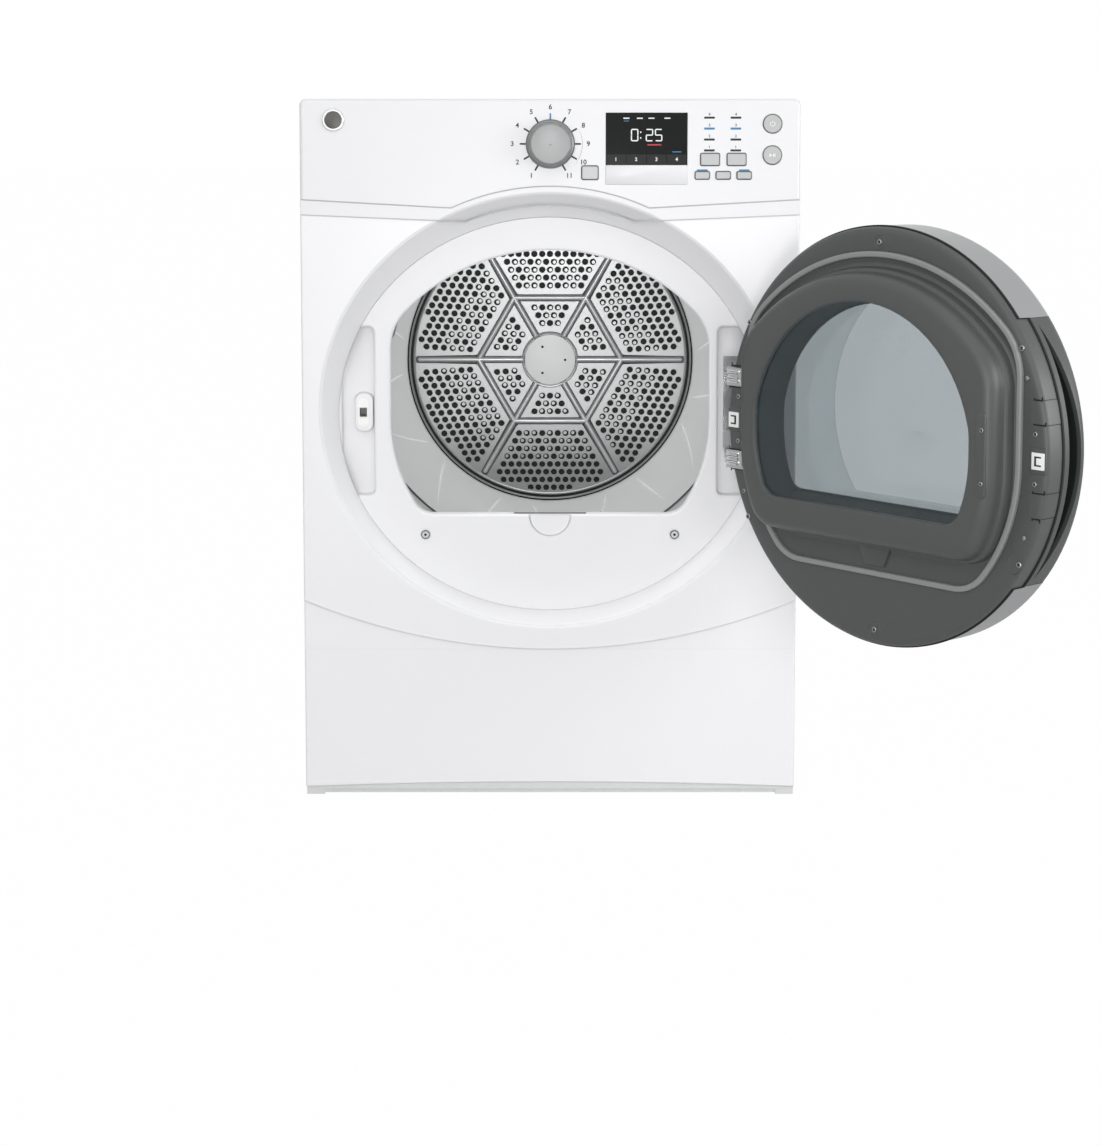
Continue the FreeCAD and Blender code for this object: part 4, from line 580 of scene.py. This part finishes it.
# The pressed ribs: six spokes and six hexagon sides, each with a rounded back.
# Reach and depth: half of a rib's section, and of the shaded groove along its foot.
RIB_SECTION = ((0.3, -4.6), (1.4, -4.4), (2.4, -3.6), (3.3, -2.2), (4.0, -0.2))
GROOVE = ((3.8, -0.1), (4.4, -0.25), (5.7, -0.25), (6.3, -0.05))
ribs, grooves = Drawing(), Drawing()
for k in range(6):
    angle = k * pi / 3
    spoke = turn_points([(radius, 0) for radius in SPOKE_ENDS], angle)
    side = [(HEXAGON_CORNER * cos(angle + s), HEXAGON_CORNER * sin(angle + s))
            for s in (0, pi / 3)]
    for start, end in (spoke, side):
        ribs.loft([at_depth(stadium(start, end, reach), SHEET_Y + y)
                   for reach, y in reversed(RIB_SECTION)], last_cap=True)
        grooves.loft([at_depth(stadium(start, end, reach), SHEET_Y + y) for reach, y in GROOVE])
drum_piece("drum_end_ribs", ribs, rib_metal)
drum_piece("drum_end_grooves", grooves, groove_shade)

# Black disc behind the holes, painted shade so that they are seen black, and the diffuser that shows in some.
hole_shade = Drawing()
hole_shade.turned([(30, -0.3), (30, -0.7), (232, -0.7), (232, -0.3)], steps=96)
drum_piece("drum_end_hole_shade", hole_shade, hole_black)
DIFFUSER_TOP = 172
glimpses = Drawing()
for k, (x, z) in enumerate([hole for hole in outer_holes if hole[1] < DIFFUSER_TOP] + inner_holes):
    if k % 5 in (1, 2, 4):
        disc = round_outline(2.9, x + 0.9, z - 0.7, 12)
        for turn in range(6):
            glimpses.loft([at_depth(turn_points(disc, turn * pi / 3), y) for y in (-0.7, -0.9)],
                          last_cap=True)
drum_piece("drum_end_diffuser", glimpses, drum_metal)

# The hub plate with its three rivets, the rolled rims, the dark joints and the sloping ring.
HUB_Y = -9.1
RIVET_CIRCLE = 26
hub = Drawing()
hub.turned([(0.5, HUB_Y), (40.8, HUB_Y), (42.8, -8.7), (43.6, -7.2), (43.9, -3)], steps=72,
           first_cap=True)
drum_piece("drum_end_hub", hub, hub_white)
printed("drum_end_rivets", [round_outline(2.2, *polar(RIVET_CIRCLE, a), 16) for a in (0, 120, 240)],
        hole_black, "drum", HUB_Y, on_drum)
rims = Drawing()
rims.turned([(44.6, -3.2), (45.2, -5.4), (46.8, -5.8), (48.4, -4.4), (48.8, -2.2)], steps=72)
rims.turned([(227, 0.6), (231, -2.4), (233, -3.4), (235, -2.6), (236, -0.2)], steps=144)
rims.turned([(239.5, 0.2), (240.3, -3.0), (241.6, -3.9), (242.8, -3.0), (243.4, -0.4)], steps=144)
drum_piece("drum_end_rims", rims, drum_metal)
gaps = Drawing()
gaps.turned([(43.4, -1.9), (45.2, -1.9)], steps=72)
gaps.turned([(235, -0.3), (246.5, -0.3)], steps=144)
drum_piece("drum_end_joint", gaps, hole_black)
SLOPE_IN = (248.5, -6.8)
SLOPE_OUT = (316.5, -51.3)
slope = Drawing()
slope.turned([(245.6, 0.2), (246, -3.4), SLOPE_IN, (276, -25), SLOPE_OUT, (320.8, -55),
              (320.8, -62)], steps=144)
drum_piece("drum_end_slope", slope, barrel_grey)


def on_slope(radius):
    """Depth of the sloping ring at a radius."""
    (r0, y0), (r1, y1) = SLOPE_IN, SLOPE_OUT
    return y0 - (radius - r0) * (y0 - y1) / (r1 - r0)


# Embossed folds on the sloping ring, leaning this way and that by a few degrees, in near-white as painted
# highlight.
FOLD_LEANS = (9, -6, 13, 3, -11, 7, -3, 12, -8, 5, -13, 8, -5, 10, -9, 4, -12, 6)
FOLD_SECTION = ((-1.2, -0.2), (-0.5, 0.7), (0, 1.0), (0.5, 0.7), (1.2, -0.2))
FOLD_START, FOLD_LENGTH, FOLD_HALF = 252, 61, 2.6
folds = Drawing()
for k, lean in enumerate(FOLD_LEANS):
    middle = radians(8 + 20 * k)
    rows = []
    for step in range(9):
        share = step / 8
        radius = FOLD_START + share * FOLD_LENGTH
        angle = middle + radians(lean) * (share - 0.5)
        full = max(0.06, sin(pi * share ** 0.6)) * FOLD_HALF
        across = Vector((-sin(angle), 0, cos(angle)))
        spot = Vector((radius * cos(angle), on_slope(radius), radius * sin(angle)))
        rows.append([spot + across * s * full + Vector((0, -h * full, 0)) for s, h in FOLD_SECTION])
    folds.loft(rows, closed=False)
drum_piece("drum_end_folds", folds, fold_highlight_white)


# ---------------------------------------- door

LINER_RADIUS = 279.6
PLUG_FACE = 42
WRAP_DEPTH = -32
GRIP_HALF = 171.5
WELL_TOP, WELL_FOOT = 33.6, -14.5
grip_lean = asin(GRIP_HALF / LINER_RADIUS)
edge_angles = sorted([radians(1.5 * k) for k in range(240)]
                     + [pi + s * grip_lean + t for s in (-1, 1) for t in (-0.001, 0.001)])


def liner_ring(radius, y, at_grip=None):
    """Ring of points at the liner's edge, which reaches further back at the grip."""
    return [(radius * cos(a), at_grip if at_grip and abs(a - pi) < grip_lean else y,
             radius * sin(a)) for a in edge_angles]


# Radius and depth round the liner's edge; inset and depth up the plug and down into the window.
EDGE_PROFILE = ((LINER_RADIUS, -8), (278.9, -4.6), (277, -1.9), (274.2, -0.5), (270, 0))
PLUG_PROFILE = ((-7, -0.1), (-4, 0.3), (-1.6, 2), (-0.6, 5), (0, 11), (0.8, 12.8), (3.4, 13.6),
                (4.6, 15), (5.2, 21), (6, 28), (7.6, 33.6), (10.8, 38), (15.2, 41), (20, PLUG_FACE))
WINDOW_PROFILE = ((-9, PLUG_FACE), (-4, 42.1), (-1.5, 41.6), (-0.3, 40), (0, 38), (0, 33.8))
liner = Drawing()
liner.loft([liner_ring(276.5, -12, WRAP_DEPTH + 0.3), liner_ring(279.2, -12.2, WRAP_DEPTH),
            liner_ring(LINER_RADIUS, -11.6, WRAP_DEPTH + 0.5)]
           + [liner_ring(r, y) for r, y in EDGE_PROFILE]
           + [at_depth(cast(plug(inset), edge_angles), y) for inset, y in ((-7, 0), (-5.5, -0.6))])
liner.loft([at_depth(plug(inset), y) for inset, y in PLUG_PROFILE]
           + [at_depth(window(inset), y) for inset, y in WINDOW_PROFILE])
door_piece("door_liner_skin", liner, dark_moulding, stands_for=("door_liner",))

# Black band in the gap between the liner and the silver ring, painted shade, which steps back at the grip.
liner_gap_shade = Drawing()
liner_gap_shade.loft([liner_ring(LINER_RADIUS + reach, y - 12, y + WRAP_DEPTH)
                  for reach, y in ((0.1, 2.6), (1.9, 2.2), (2.1, -0.6), (0.7, -1.6))])
door_piece("door_liner_gap_shade", liner_gap_shade, hole_black)

# The tinted wall that runs back from the window to the outer glass.
well = Drawing()
well.loft([at_depth(window(inset), y) for inset, y in
           ((-0.4, WELL_TOP), (0.4, 20), (1.5, -13), (3, -14), (5, WELL_FOOT),
            (-2.5, WELL_FOOT), (-2.5, WELL_TOP))])
door_piece("door_window_wall", well, teal_well)

# The shaded border behind the well: what it leaves clear is round on one side and flat below.
CLEAR_RADIUS = 189
CLEAR_X, CLEAR_Z = -100, 38
CLEAR_FLOOR = -78
border = Drawing()
inner_edge = []
for (x, z), at_window in zip(cast(round_outline(CLEAR_RADIUS, CLEAR_X, CLEAR_Z, 128), edge_angles),
                             cast(window(-5), edge_angles)):
    if z < CLEAR_FLOOR:
        x, z = CLEAR_FLOOR * x / z, CLEAR_FLOOR
    inner_edge.append(min((x, z), at_window, key=lambda point: hypot(*point)))
outer_edge = cast(window(-6), edge_angles)
border.loft([at_depth(outer_edge, -15), at_depth(outer_edge, -15.4), at_depth(inner_edge, -15.4),
             at_depth(inner_edge, -15), at_depth(outer_edge, -15)])
door_piece("door_cover_border", border, print_tint)

# Tab under the plug, and the raised pad on the plug's face at the free side.
TAB_TOP, TAB_FOOT = -143, -172
tab = Drawing()
tab.raised(lambda inset: [(29 - inset, TAB_TOP), (17 - inset, TAB_FOOT + inset),
                          (inset - 17, TAB_FOOT + inset), (inset - 29, TAB_TOP)], -1, 3.4, 1.2)
tab.raised(lambda inset: rounded_outline(-215, -52, -200.5, 57, 5, inset), PLUG_FACE - 3,
           PLUG_FACE + 0.7, 0.6)
door_piece("door_liner_tab", tab, dark_moulding)

# Blank seats on the free side: a plate that wraps the liner's edge, slotted above and below.
SEATS = ((44.2, 72.8), (-74.8, -44.4))
seat_wrap = [(r + 0.4, y) for r, y in reversed(((LINER_RADIUS, WRAP_DEPTH + 0.6), *EDGE_PROFILE))]
seats = Drawing()
for z0, z1 in SEATS:
    rows = []
    for step in range(7):
        z = z0 + (z1 - z0) * step / 6
        rows.append([(-251, -0.2, z), (-251.4, 0.6, z)]
                    + [(-sqrt(r * r - z * z), y + (0.6 if y > -1 else 0.2), z)
                       for r, y in seat_wrap])
    seats.loft(rows, closed=False)
door_piece("hinge_seat_covers", seats, dark_moulding, stands_for=("hinge_covers",))


def slot_with_hooks(side, x0, x1, z, thick, way):
    """Slot along a seat's edge with a short hook at each end, turned up or down."""
    x0, x1 = side * x0, side * x1
    return [bar(x0, z - thick / 2, x1, z + thick / 2),
            bar(x1 - side * 1.6, z, x1 + side * 0.4, z + way * 4.2),
            bar(x0, z, x0 + side * 1.4, z + way * 2.6)]


# Height, outer end, thickness and way of the hooks, on the free side and on the hinge side.
FREE_SLOTS = ((74, 270.5, 1.8, 1), (42.9, 276.5, 1.8, 1), (-43.2, 276.5, 1.8, 1),
              (-75.9, 270, 1.8, -1))
HINGE_SLOTS = ((74.2, 272, 2.2, 1), (45.2, 276, 4.2, -1), (-44.4, 276, 1.8, 1),
               (-71.2, 272, 4.2, -1))
slots = []
for side, start, rows in ((-1, 257, FREE_SLOTS), (1, 247, HINGE_SLOTS)):
    for z, end, thick, way in rows:
        slots += slot_with_hooks(side, start, end, z, thick, way)
printed("door_seat_slots", slots, hole_black, "door", 0.0, on_door, 0.3)
seat_lines = Drawing()
line_radius = LINER_RADIUS + 0.2
for z, *_ in FREE_SLOTS:
    seat_lines.loft([[(-sqrt(line_radius ** 2 - (z + t) ** 2), y, z + t) for t in (-0.45, 0.45)]
                     for y in (-4, WRAP_DEPTH + 0.8)], closed=False)
door_piece("door_seat_lines", seat_lines, hole_black)

# Shade in the channel of the grip: its floor and the wall the fingers pull on.
# Radius of its arched far wall, its length, the depths of its near wall and of the arch, and
# the radii of its floor and rim.
CHANNEL_ARC = 572.3
CHANNEL_LENGTH = 325
CHANNEL_NEAR, CHANNEL_DEEP = 43.5, 24
CHANNEL_FLOOR, CHANNEL_RIM = 259.9, 274
channel = Drawing()
rows = []
for step in range(41):
    z = CHANNEL_LENGTH * (step / 40 - 0.5)
    far = max(44.3, CHANNEL_NEAR + CHANNEL_DEEP - CHANNEL_ARC + sqrt(CHANNEL_ARC ** 2 - z * z))
    rows.append([(-sqrt(r * r - z * z), -y, z)
                 for r, y in ((CHANNEL_FLOOR, CHANNEL_NEAR + 0.3), (CHANNEL_FLOOR, far - 0.4),
                              (CHANNEL_RIM, far - 0.4))])
channel.loft(rows, closed=False)
door_piece("door_grip_channel", channel, channel_black)

# Knuckle covers and bars of the two hinges, on the leaves.
# Foot, top and depth of each knuckle, above the foot of its hinge.
KNUCKLES = ((0, 5.6, 5.4), (6.2, 12.6, 4.4), (13.2, 18.8, 5.4))
fittings = Drawing()
for foot in (50, -66.5):
    for low, high, top in KNUCKLES:
        fittings.raised(lambda inset: rounded_outline(256, foot + low, 279.5, foot + high, 1.6,
                                                      inset), 2, top, 1.4)
for low, high in ((48.5, 70.5), (-67, -45.5)):
    fittings.raised(lambda inset: rounded_outline(246.5, low, 253, high, 1.2, inset), 2, 4.6, 1.2)
door_piece("door_hinge_fittings", fittings, chrome)


def screw_head(drawn, x, z, radius, base):
    """Round head with a sunk socket, standing out of the liner."""
    drawn.turned([(radius, base), (radius, base + 0.3 * radius), (0.84 * radius, base + 0.42 * radius),
                  (0.56 * radius, base + 0.42 * radius), (0.46 * radius, base + 0.2 * radius)],
                 x, z, 24, last_cap=True)


# Place, radius of the head and depth of the surface it sits on.
DOOR_SCREWS = ((0, 259.5, 3.9, 0), (0, -259.5, 3.9, 0), (237, 137, 3.9, 0), (-237, 137, 3.9, 0),
               (237, -137, 3.9, 0), (-238.5, -137, 3.9, 0), (258.5, 31, 3.3, 0),
               (258.5, -32, 3.3, 0), (-260.5, 31, 3.3, 0), (-260.5, -32, 3.3, 0),
               (-209.8, 34.6, 3.0, PLUG_FACE + 0.6), (-209.8, -33.2, 3.0, PLUG_FACE + 0.6),
               (246, -102, 3.0, 0))
DOOR_STUDS = ((246, 100, 2.8), (-246, 100, 3.4), (-246, -102, 3.4), (235.4, 28, 1.8))
# Screw heads, and black discs on the floors of their sockets as painted shade.
heads, socket_shades = Drawing(), Drawing()
for x, z, radius, base in DOOR_SCREWS:
    screw_head(heads, x, z, radius, base)
    socket, y = round_outline(0.44 * radius, x, z, 12), base + 0.2 * radius
    socket_shades.loft([at_depth(socket, y), at_depth(socket, y + 0.1)], last_cap=True)
for x, z, radius in DOOR_STUDS:
    heads.turned([(radius, 0), (radius * 0.9, radius * 0.4), (radius * 0.5, radius * 0.6)], x, z, 20,
                 last_cap=True)
door_piece("door_screw_heads", heads, screw_zinc, stands_for=("door_screws",))
door_piece("door_screw_socket_shade", socket_shades, hole_black)

# Rims pressed round the top and bottom screws, and the longer one at the lower free side.
PRESSED = (1.5, -0.55, 0)
pressed_rims = Drawing()
for z, radius in ((-259.5, 10), (259.5, 9)):
    pressed_rims.bead([polar(radius, a, 0, z) for a in range(0, 361, 15)], *PRESSED, taper=False)
pressed_rims.bead([(-222.5, -147), (-220.5, -136), (-224, -126), (-231.5, -121), (-240, -122.5),
                   (-245, -129)], *PRESSED)
pressed_rims.bead([(-243, -139), (-240, -147), (-233, -151), (-225, -149)], *PRESSED)
door_piece("door_pressed_rims", pressed_rims, dark_moulding)

# Square strikes: white plate, black slot and the tongue the latch closes on, in a dark seat.
STRIKE_X, STRIKE_Z = 266, -2.5


def on_strike(side, half_width, half_height, shift, r):
    """Outline on the strike of one side, moved by shift towards the door's edge."""
    x = side * (STRIKE_X + shift)
    return lambda inset: rounded_outline(x - half_width, STRIKE_Z - half_height, x + half_width,
                                         STRIKE_Z + half_height, r, inset)


plates, tongues, slots_behind, strike_seats = Drawing(), Drawing(), [], Drawing()
for side in (-1, 1):
    strike_seats.raised(on_strike(side, 12.8, 16.5, -1.2, 3), -1, 0.9, 0.8)
    plates.raised(on_strike(side, 9.8, 10.8, 0, 1), 0.5, 2.2, 0.5)
    slots_behind.append(on_strike(side, 5.2, 6.3, 0, 0.3)(0))
    tongues.raised(on_strike(side, 3.6, 4.3, 1.6, 0.4), 2, 3.0, 0.4)
door_piece("door_strike_seats", strike_seats, dark_moulding)
door_piece("door_strike_plates", plates, white_nylon, stands_for=("door_strikes",))
printed("door_strike_slots", slots_behind, hole_black, "door", 2.2, on_door, 0.1)
door_piece("door_strike_tongues", tongues, white_nylon)

# ---------------------------------------- control panel prints

# Raised lines start this far in front of the surface.
LINE_FOOT = -0.02
DIAL_DEGREES = range(-60, 241, 30)
TICK_ENDS = (35.4, 42.5)
LIT_TICK = 5
DIAL_LINE_RADIUS = 45.5
NUMBER_REACH_X, NUMBER_REACH_Z = 54, 52
knob = middle_mm("cycle_knob")
ticks, lit_ticks = [], []
for k, angle in enumerate(DIAL_DEGREES):
    ends = [polar(r, angle, knob.x, knob.z) for r in TICK_ENDS]
    (lit_ticks if k == LIT_TICK else ticks).append(stadium(*ends, 1.25))
printed("dial_ticks", ticks, dark_ink)
dial_line = Drawing()
dial_line.bead([polar(DIAL_LINE_RADIUS, a, knob.x, knob.z) for a in range(-45, 33, 3)], 0.5, 0.1,
               LINE_FOOT)
piece("dial_line", dial_line, grey_ink)
printed("dial_tick_lit", lit_ticks, blue_ink)
for k, angle in enumerate(DIAL_DEGREES):
    lettered(f"dial_number_{11 - k}", str(11 - k), knob.x + NUMBER_REACH_X * cos(radians(angle)),
             knob.z + NUMBER_REACH_Z * sin(radians(angle)), 7, dark_ink)

skirt = Drawing()
skirt.turned([(32.4, -0.2), (32.8, -2.4), (34.0, -2.6), (34.9, -1.6), (35.0, -0.05)], knob.x, knob.z)
piece("knob_skirt", skirt, bezel_grey, "cycle_knob")

# Outline and face of the display glass, inside its flange.
FLANGE = 3
screen_low, screen_high = box_mm("display_lens")
screen_x0, screen_x1 = screen_low.x + FLANGE, screen_high.x - FLANGE
screen_z0 = screen_low.z + FLANGE
glass_y = screen_low.y - front_mm
# Bars that light for each numeral of the clock.
SEGMENTS = {"0": "abcdef", "2": "abged", "5": "afgcd"}
# Each numeral of the clock with its left edge, and the two dots between them.
CLOCK = (("0", 115.5), ("2", 136.5), ("5", 149.5))
CLOCK_FOOT, NUMERAL_WIDTH, NUMERAL_HEIGHT = 951, 9, 16
COLON_X, COLON_Z = 128.6, (955, 963)
TOUCH_KEYS = 4


def segments(digit, x, z, width, height):
    """Bars of one seven-segment numeral with its lower left corner at x, z."""
    mid, top, gap = z + height / 2, z + height, 0.9
    bars = {"a": ((x + gap, top), (x + width - gap, top)),
            "g": ((x + gap, mid), (x + width - gap, mid)),
            "d": ((x + gap, z), (x + width - gap, z)),
            "b": ((x + width, top - gap), (x + width, mid + gap)),
            "c": ((x + width, mid - gap), (x + width, z + gap)),
            "f": ((x, top - gap), (x, mid + gap)), "e": ((x, mid - gap), (x, z + gap))}
    return [stadium(*bars[name], 0.8) for name in SEGMENTS[digit]]


def on_display(name, outlines, finish):
    printed(name, outlines, finish, y=glass_y)


numerals = []
for digit, x in CLOCK:
    numerals += segments(digit, x, CLOCK_FOOT, NUMERAL_WIDTH, NUMERAL_HEIGHT)
numerals += [round_outline(1.1, COLON_X, z, 12) for z in COLON_Z]
on_display("display_numerals", numerals, white_ink)
on_display("display_top_marks",
           [rounded_outline(x, 982, x + 8.5, 983.6, 0.5) for x in (104, 123, 139.5, 162)], white_ink)
on_display("display_lit_marks", [rounded_outline(104.5, 978.4, 112, 979.4, 0.4),
                                 rounded_outline(173.5, 934.6, 186.5, 935.9, 0.4)], blue_ink)
on_display("display_alert_mark", [rounded_outline(138, 944.3, 158, 946.2, 0.6)], red_ink)
screen_width = screen_x1 - screen_x0
touch_x = [screen_x0 + 1 + k * (screen_width - 1) / TOUCH_KEYS for k in range(TOUCH_KEYS)]
on_display("display_touch_keys",
           [rounded_outline(x, screen_z0 + 2, x + screen_width / TOUCH_KEYS - 1.6, screen_z0 + 16,
                            0.6) for x in touch_x], touch_black)
for k, x in enumerate(touch_x):
    lettered(f"display_touch_number_{k + 1}", str(k + 1), x + 13.5, screen_z0 + 9, 5, white_ink,
             y=glass_y - 0.12)

# Indicator bars over the keys, the second of each four lit.
BAR_COLUMNS = (226, 263.5)
BAR_ROWS = (983.6, 968.2, 952.7, 937.3)
BAR_REACH, BAR_HALF = 7.6, 1.5
for name, wanted, finish in (("level_bars", (0, 2, 3), dark_ink), ("level_bars_lit", (1,), blue_ink)):
    printed(name, [rounded_outline(x - BAR_REACH, BAR_ROWS[k] - BAR_HALF, x + BAR_REACH,
                                   BAR_ROWS[k] + BAR_HALF, 0.8)
                   for x in BAR_COLUMNS for k in wanted], finish)
for column, x in enumerate(BAR_COLUMNS):
    for k, z in enumerate(BAR_ROWS):
        lettered(f"level_number_{column}_{4 - k}", str(4 - k), x, z + 4.8, 3.8, dark_ink)
printed("option_bars", [rounded_outline(x - BAR_REACH, 908.4, x + BAR_REACH, 910.5, 0.6)
                        for x in (216.3, 275.7)], blue_ink)

# Dark bezels round the keys, and the marks for on/off and start/pause.
BEZEL_PROFILE = ((0.25, 0.3), (0.25, -0.7), (0.7, -1.0), (1.3, -0.7), (1.5, 0.1))
ROUND_KEYS = ("power_button", "start_button")
bezels = Drawing()
for node in [name for name in frame["nodes"] if name.endswith("_button") or "_button_" in name]:
    low, high = box_mm(node)
    corner = 12.8 if node in ROUND_KEYS else 1.8
    bezels.loft([at_depth(rounded_outline(low.x - grow, low.z - grow, high.x + grow,
                                          high.z + grow, corner + grow), y)
                 for grow, y in BEZEL_PROFILE])
piece("key_bezels", bezels, bezel_grey)


def key_face(node):
    """Middle of a key and the depth of its face."""
    low, high = box_mm(node)
    return (low.x + high.x) / 2, (low.z + high.z) / 2, low.y - front_mm


x, z, y = key_face("power_button")
ring = [polar(3.4, a, x, z) for a in range(-230, 51, 20)]
mark = Drawing()
for path in (ring, [(x, z + 0.6), (x, z + 2.6), (x, z + 4.4)]):
    mark.bead(path, 0.7, 0.12, y + LINE_FOOT, taper=False)
piece("power_mark", mark, white_ink, "power_button")
x, z, y = key_face("start_button")
printed("start_mark", [[(x - 4.2, z - 2.4), (x - 0.4, z), (x - 4.2, z + 2.4)],
                       bar(x + 1, z - 2.2, x + 2.1, z + 2.2), bar(x + 3.1, z - 2.2, x + 4.2, z + 2.2)],
        white_ink, "start_button", y)

# Badge without a mark: pewter field inside its silver rim.
badge = middle_mm("badge_disc")
badge_y = box_mm("badge_disc")[0].y - front_mm
field = Drawing()
field.turned([(12.6, badge_y + 0.3), (12.4, badge_y - 0.25), (11.6, badge_y - 0.45),
              (0.4, badge_y - 0.6)], badge.x, badge.z, 40, last_cap=True)
piece("badge_field", field, badge_enamel)


# ---------------------------------------- front and base

# Washers and sockets of the two screws under the mouth, and the dark edge of the lint filter.
SCREW_X, SCREW_Z = 181.5, 378
head_y = box_mm("cabinet_screws")[0].y - front_mm
washers = Drawing()
for side in (-1, 1):
    washers.turned([(6.8, head_y + 2.2), (6.7, head_y + 0.4), (6.1, head_y - 0.3),
                    (4.9, head_y - 0.3), (4.7, head_y + 0.1)], side * SCREW_X, SCREW_Z, 28)
piece("bulkhead_washers", washers, bezel_grey)
printed("bulkhead_screw_sockets",
        [round_outline(1.9, side * SCREW_X, SCREW_Z, 14) for side in (-1, 1)],
        hole_black, y=head_y)
filter_low, filter_high = box_mm("lint_filter")
strip = Drawing()
strip.loft([at_depth(bar(-60, filter_high.z - 1.5, 60, filter_high.z + 0.25),
                     y - front_mm) for y in (filter_low.y - 0.3, filter_high.y + 0.3)],
           True, True)
piece("lint_filter_edge", strip, dark_moulding, "lint_filter")

# Front lip of the base, seen under the front panel.
LIP_HALF, LIP_FOOT, LIP_TOP = 346, 9, 44
lip = Drawing()
lip.loft([at_depth(bar(-LIP_HALF, LIP_FOOT, LIP_HALF, LIP_TOP), y) for y in (6.6, 5.4)], True, True)
piece("base_front_lip", lip, zinc)

# Shaded seams above and below the trim band: low at the sides, arched over the recess.
# Height at the sides, place of the kink between line and arch, and the arch's radius.
SEAMS = ((867.9, 141, 856, 337), (845.2, 120, 835.2, 309.6))
CABINET_HALF = 355.5
SEAM_END, SEAM_BEND = 354.6, 250
ARCH_Z = 550
seams = Drawing()
for side_z, kink_x, kink_z, radius in SEAMS:
    reach = asin(kink_x / radius)
    arch = [(radius * sin(reach * k / 24), ARCH_Z + radius * cos(reach * k / 24))
            for k in range(-24, 25)]
    bend_z = side_z + (kink_z - side_z) * (CABINET_HALF - SEAM_BEND) / (CABINET_HALF - kink_x)
    path = [(-SEAM_END, side_z), (-SEAM_BEND, bend_z), *arch, (SEAM_BEND, bend_z),
            (SEAM_END, side_z)]
    seams.loft([[(x, 0.7, z + t) for x, z in path] for t in (-1.4, 1.4)], closed=False)
piece("trim_seams", seams, seam_grey)

# White frame of the sub-panel that carries the display.
sub_panel = Drawing()
sub_panel.raised(lambda inset: rounded_outline(screen_x0 - 0.6, 888.6, screen_x1 + 0.6,
                                               screen_z0 + 1, 2, inset), 0.3, -0.35, 0.3)
piece("display_sub_panel", sub_panel, white_abs)


# ---------------------------------------- room, light and camera

WHITE = (1, 1, 1, 1)
# Share of the white backdrop that shiny surfaces see, in the floor and in the room above it.
FLOOR_IN_GLOSS, ROOM_IN_GLOSS = 0.15, 0.5
FLOOR_GLOW = 0.99
ROOM_LEVEL = 0.62
FLOOR_REACH = 40


def backdrop_share(tree, in_gloss):
    """Full for the camera and through glass, a share for reflections, none for light."""
    path = add(tree, "LightPath")
    glossy = add(tree, "Math", {0: path.outputs["Is Glossy Ray"], 1: in_gloss},
                 operation="MULTIPLY")
    seen = add(tree, "Math", {0: path.outputs["Is Camera Ray"], 1: glossy.outputs[0]},
               operation="MAXIMUM")
    return add(tree, "Math", {0: seen.outputs[0], 1: path.outputs["Is Transmission Ray"]},
               operation="MAXIMUM").outputs[0]


# Pale matt floor that shows white and keeps a trace of the shadow.
floor_white = bpy.data.materials.new("studio_floor_white")
floor_white.use_nodes = True
tree = floor_white.node_tree
tree.nodes.clear()
share = add(tree, "Math", {0: backdrop_share(tree, FLOOR_IN_GLOSS), 1: FLOOR_GLOW},
            operation="MULTIPLY")
matt = add(tree, "BsdfDiffuse", {"Color": linear("#C0C0C0")})
glow = add(tree, "Emission", {"Color": WHITE, "Strength": 1.0})
both = add(tree, "MixShader", {0: share.outputs[0], 1: matt.outputs[0], 2: glow.outputs[0]})
add(tree, "OutputMaterial", {"Surface": both.outputs[0]})

floor_mesh = bpy.data.meshes.new("studio_floor")
floor_mesh.from_pydata([(x, z, 0) for x, z in bar(-FLOOR_REACH, -FLOOR_REACH, FLOOR_REACH,
                                                  FLOOR_REACH)], [], [(0, 1, 2, 3)])
floor_mesh.materials.append(floor_white)
studio_floor = in_scene(bpy.data.objects.new("studio_floor", floor_mesh))

world = bpy.data.worlds.new("studio")
bpy.context.scene.world = world
world.use_nodes = True
sky = world.node_tree
sky.nodes.clear()
level = add(sky, "MapRange", {"Value": backdrop_share(sky, ROOM_IN_GLOSS), "To Min": ROOM_LEVEL,
                              "To Max": 1.0})
glow = add(sky, "Background", {"Color": WHITE, "Strength": level.outputs["Result"]})
add(sky, "OutputWorld", {"Surface": glow.outputs[0]})

# Square soft boxes: place and aim in metres, width in metres, power in watts.
LAMPS = (
    ("key_light", (-1.2, -3.2, 3.6), (0, 0, 0.6), 2.2, 17),
    ("top_light", (0.4, -1.2, 3.8), (0, 0.2, 0.5), 2.0, 6),
    ("front_light_low", (0, -4.4, 0.36), (0, 0, 0.57), 0.62, 25),
    ("front_light_high", (0, -4.6, 1.85), (0, 0, 0.57), 0.9, 12),
    ("front_light_left", (-1.7, -4.3, 1.3), (0, 0, 0.6), 1.0, 14),
    ("front_light_right", (1.7, -4.3, 1.3), (0, 0, 0.6), 1.0, 13),
    ("side_light_right", (1.9, -1.2, 0.9), (0.36, -0.4, 0.55), 0.8, 12),
    ("drum_lamp", (0, -0.24, 0.83), (0, 0.2, 0.37), 0.26, 1.65))
for name, place, aim, width, power in LAMPS:
    lamp = bpy.data.lights.new(name, "AREA")
    lamp.shape, lamp.size, lamp.energy = "SQUARE", width, power
    stand = in_scene(bpy.data.objects.new(name, lamp))
    stand.location = place
    stand.rotation_mode = "QUATERNION"
    stand.rotation_quaternion = (Vector(aim) - Vector(place)).to_track_quat("-Z", "Y")

CAMERA_PLACE = (0, -3.80, 1.000)
CAMERA_TILT = radians(5.65)
camera = in_scene(bpy.data.objects.new("camera", bpy.data.cameras.new("camera")))
camera.location = CAMERA_PLACE
camera.rotation_euler = (pi / 2 - CAMERA_TILT, 0, 0)
camera.data.lens = 75.5
camera.data.sensor_width = 36
camera.data.shift_y = -0.2
bpy.context.scene.camera = camera
bpy.context.scene.view_settings.view_transform = "Standard"
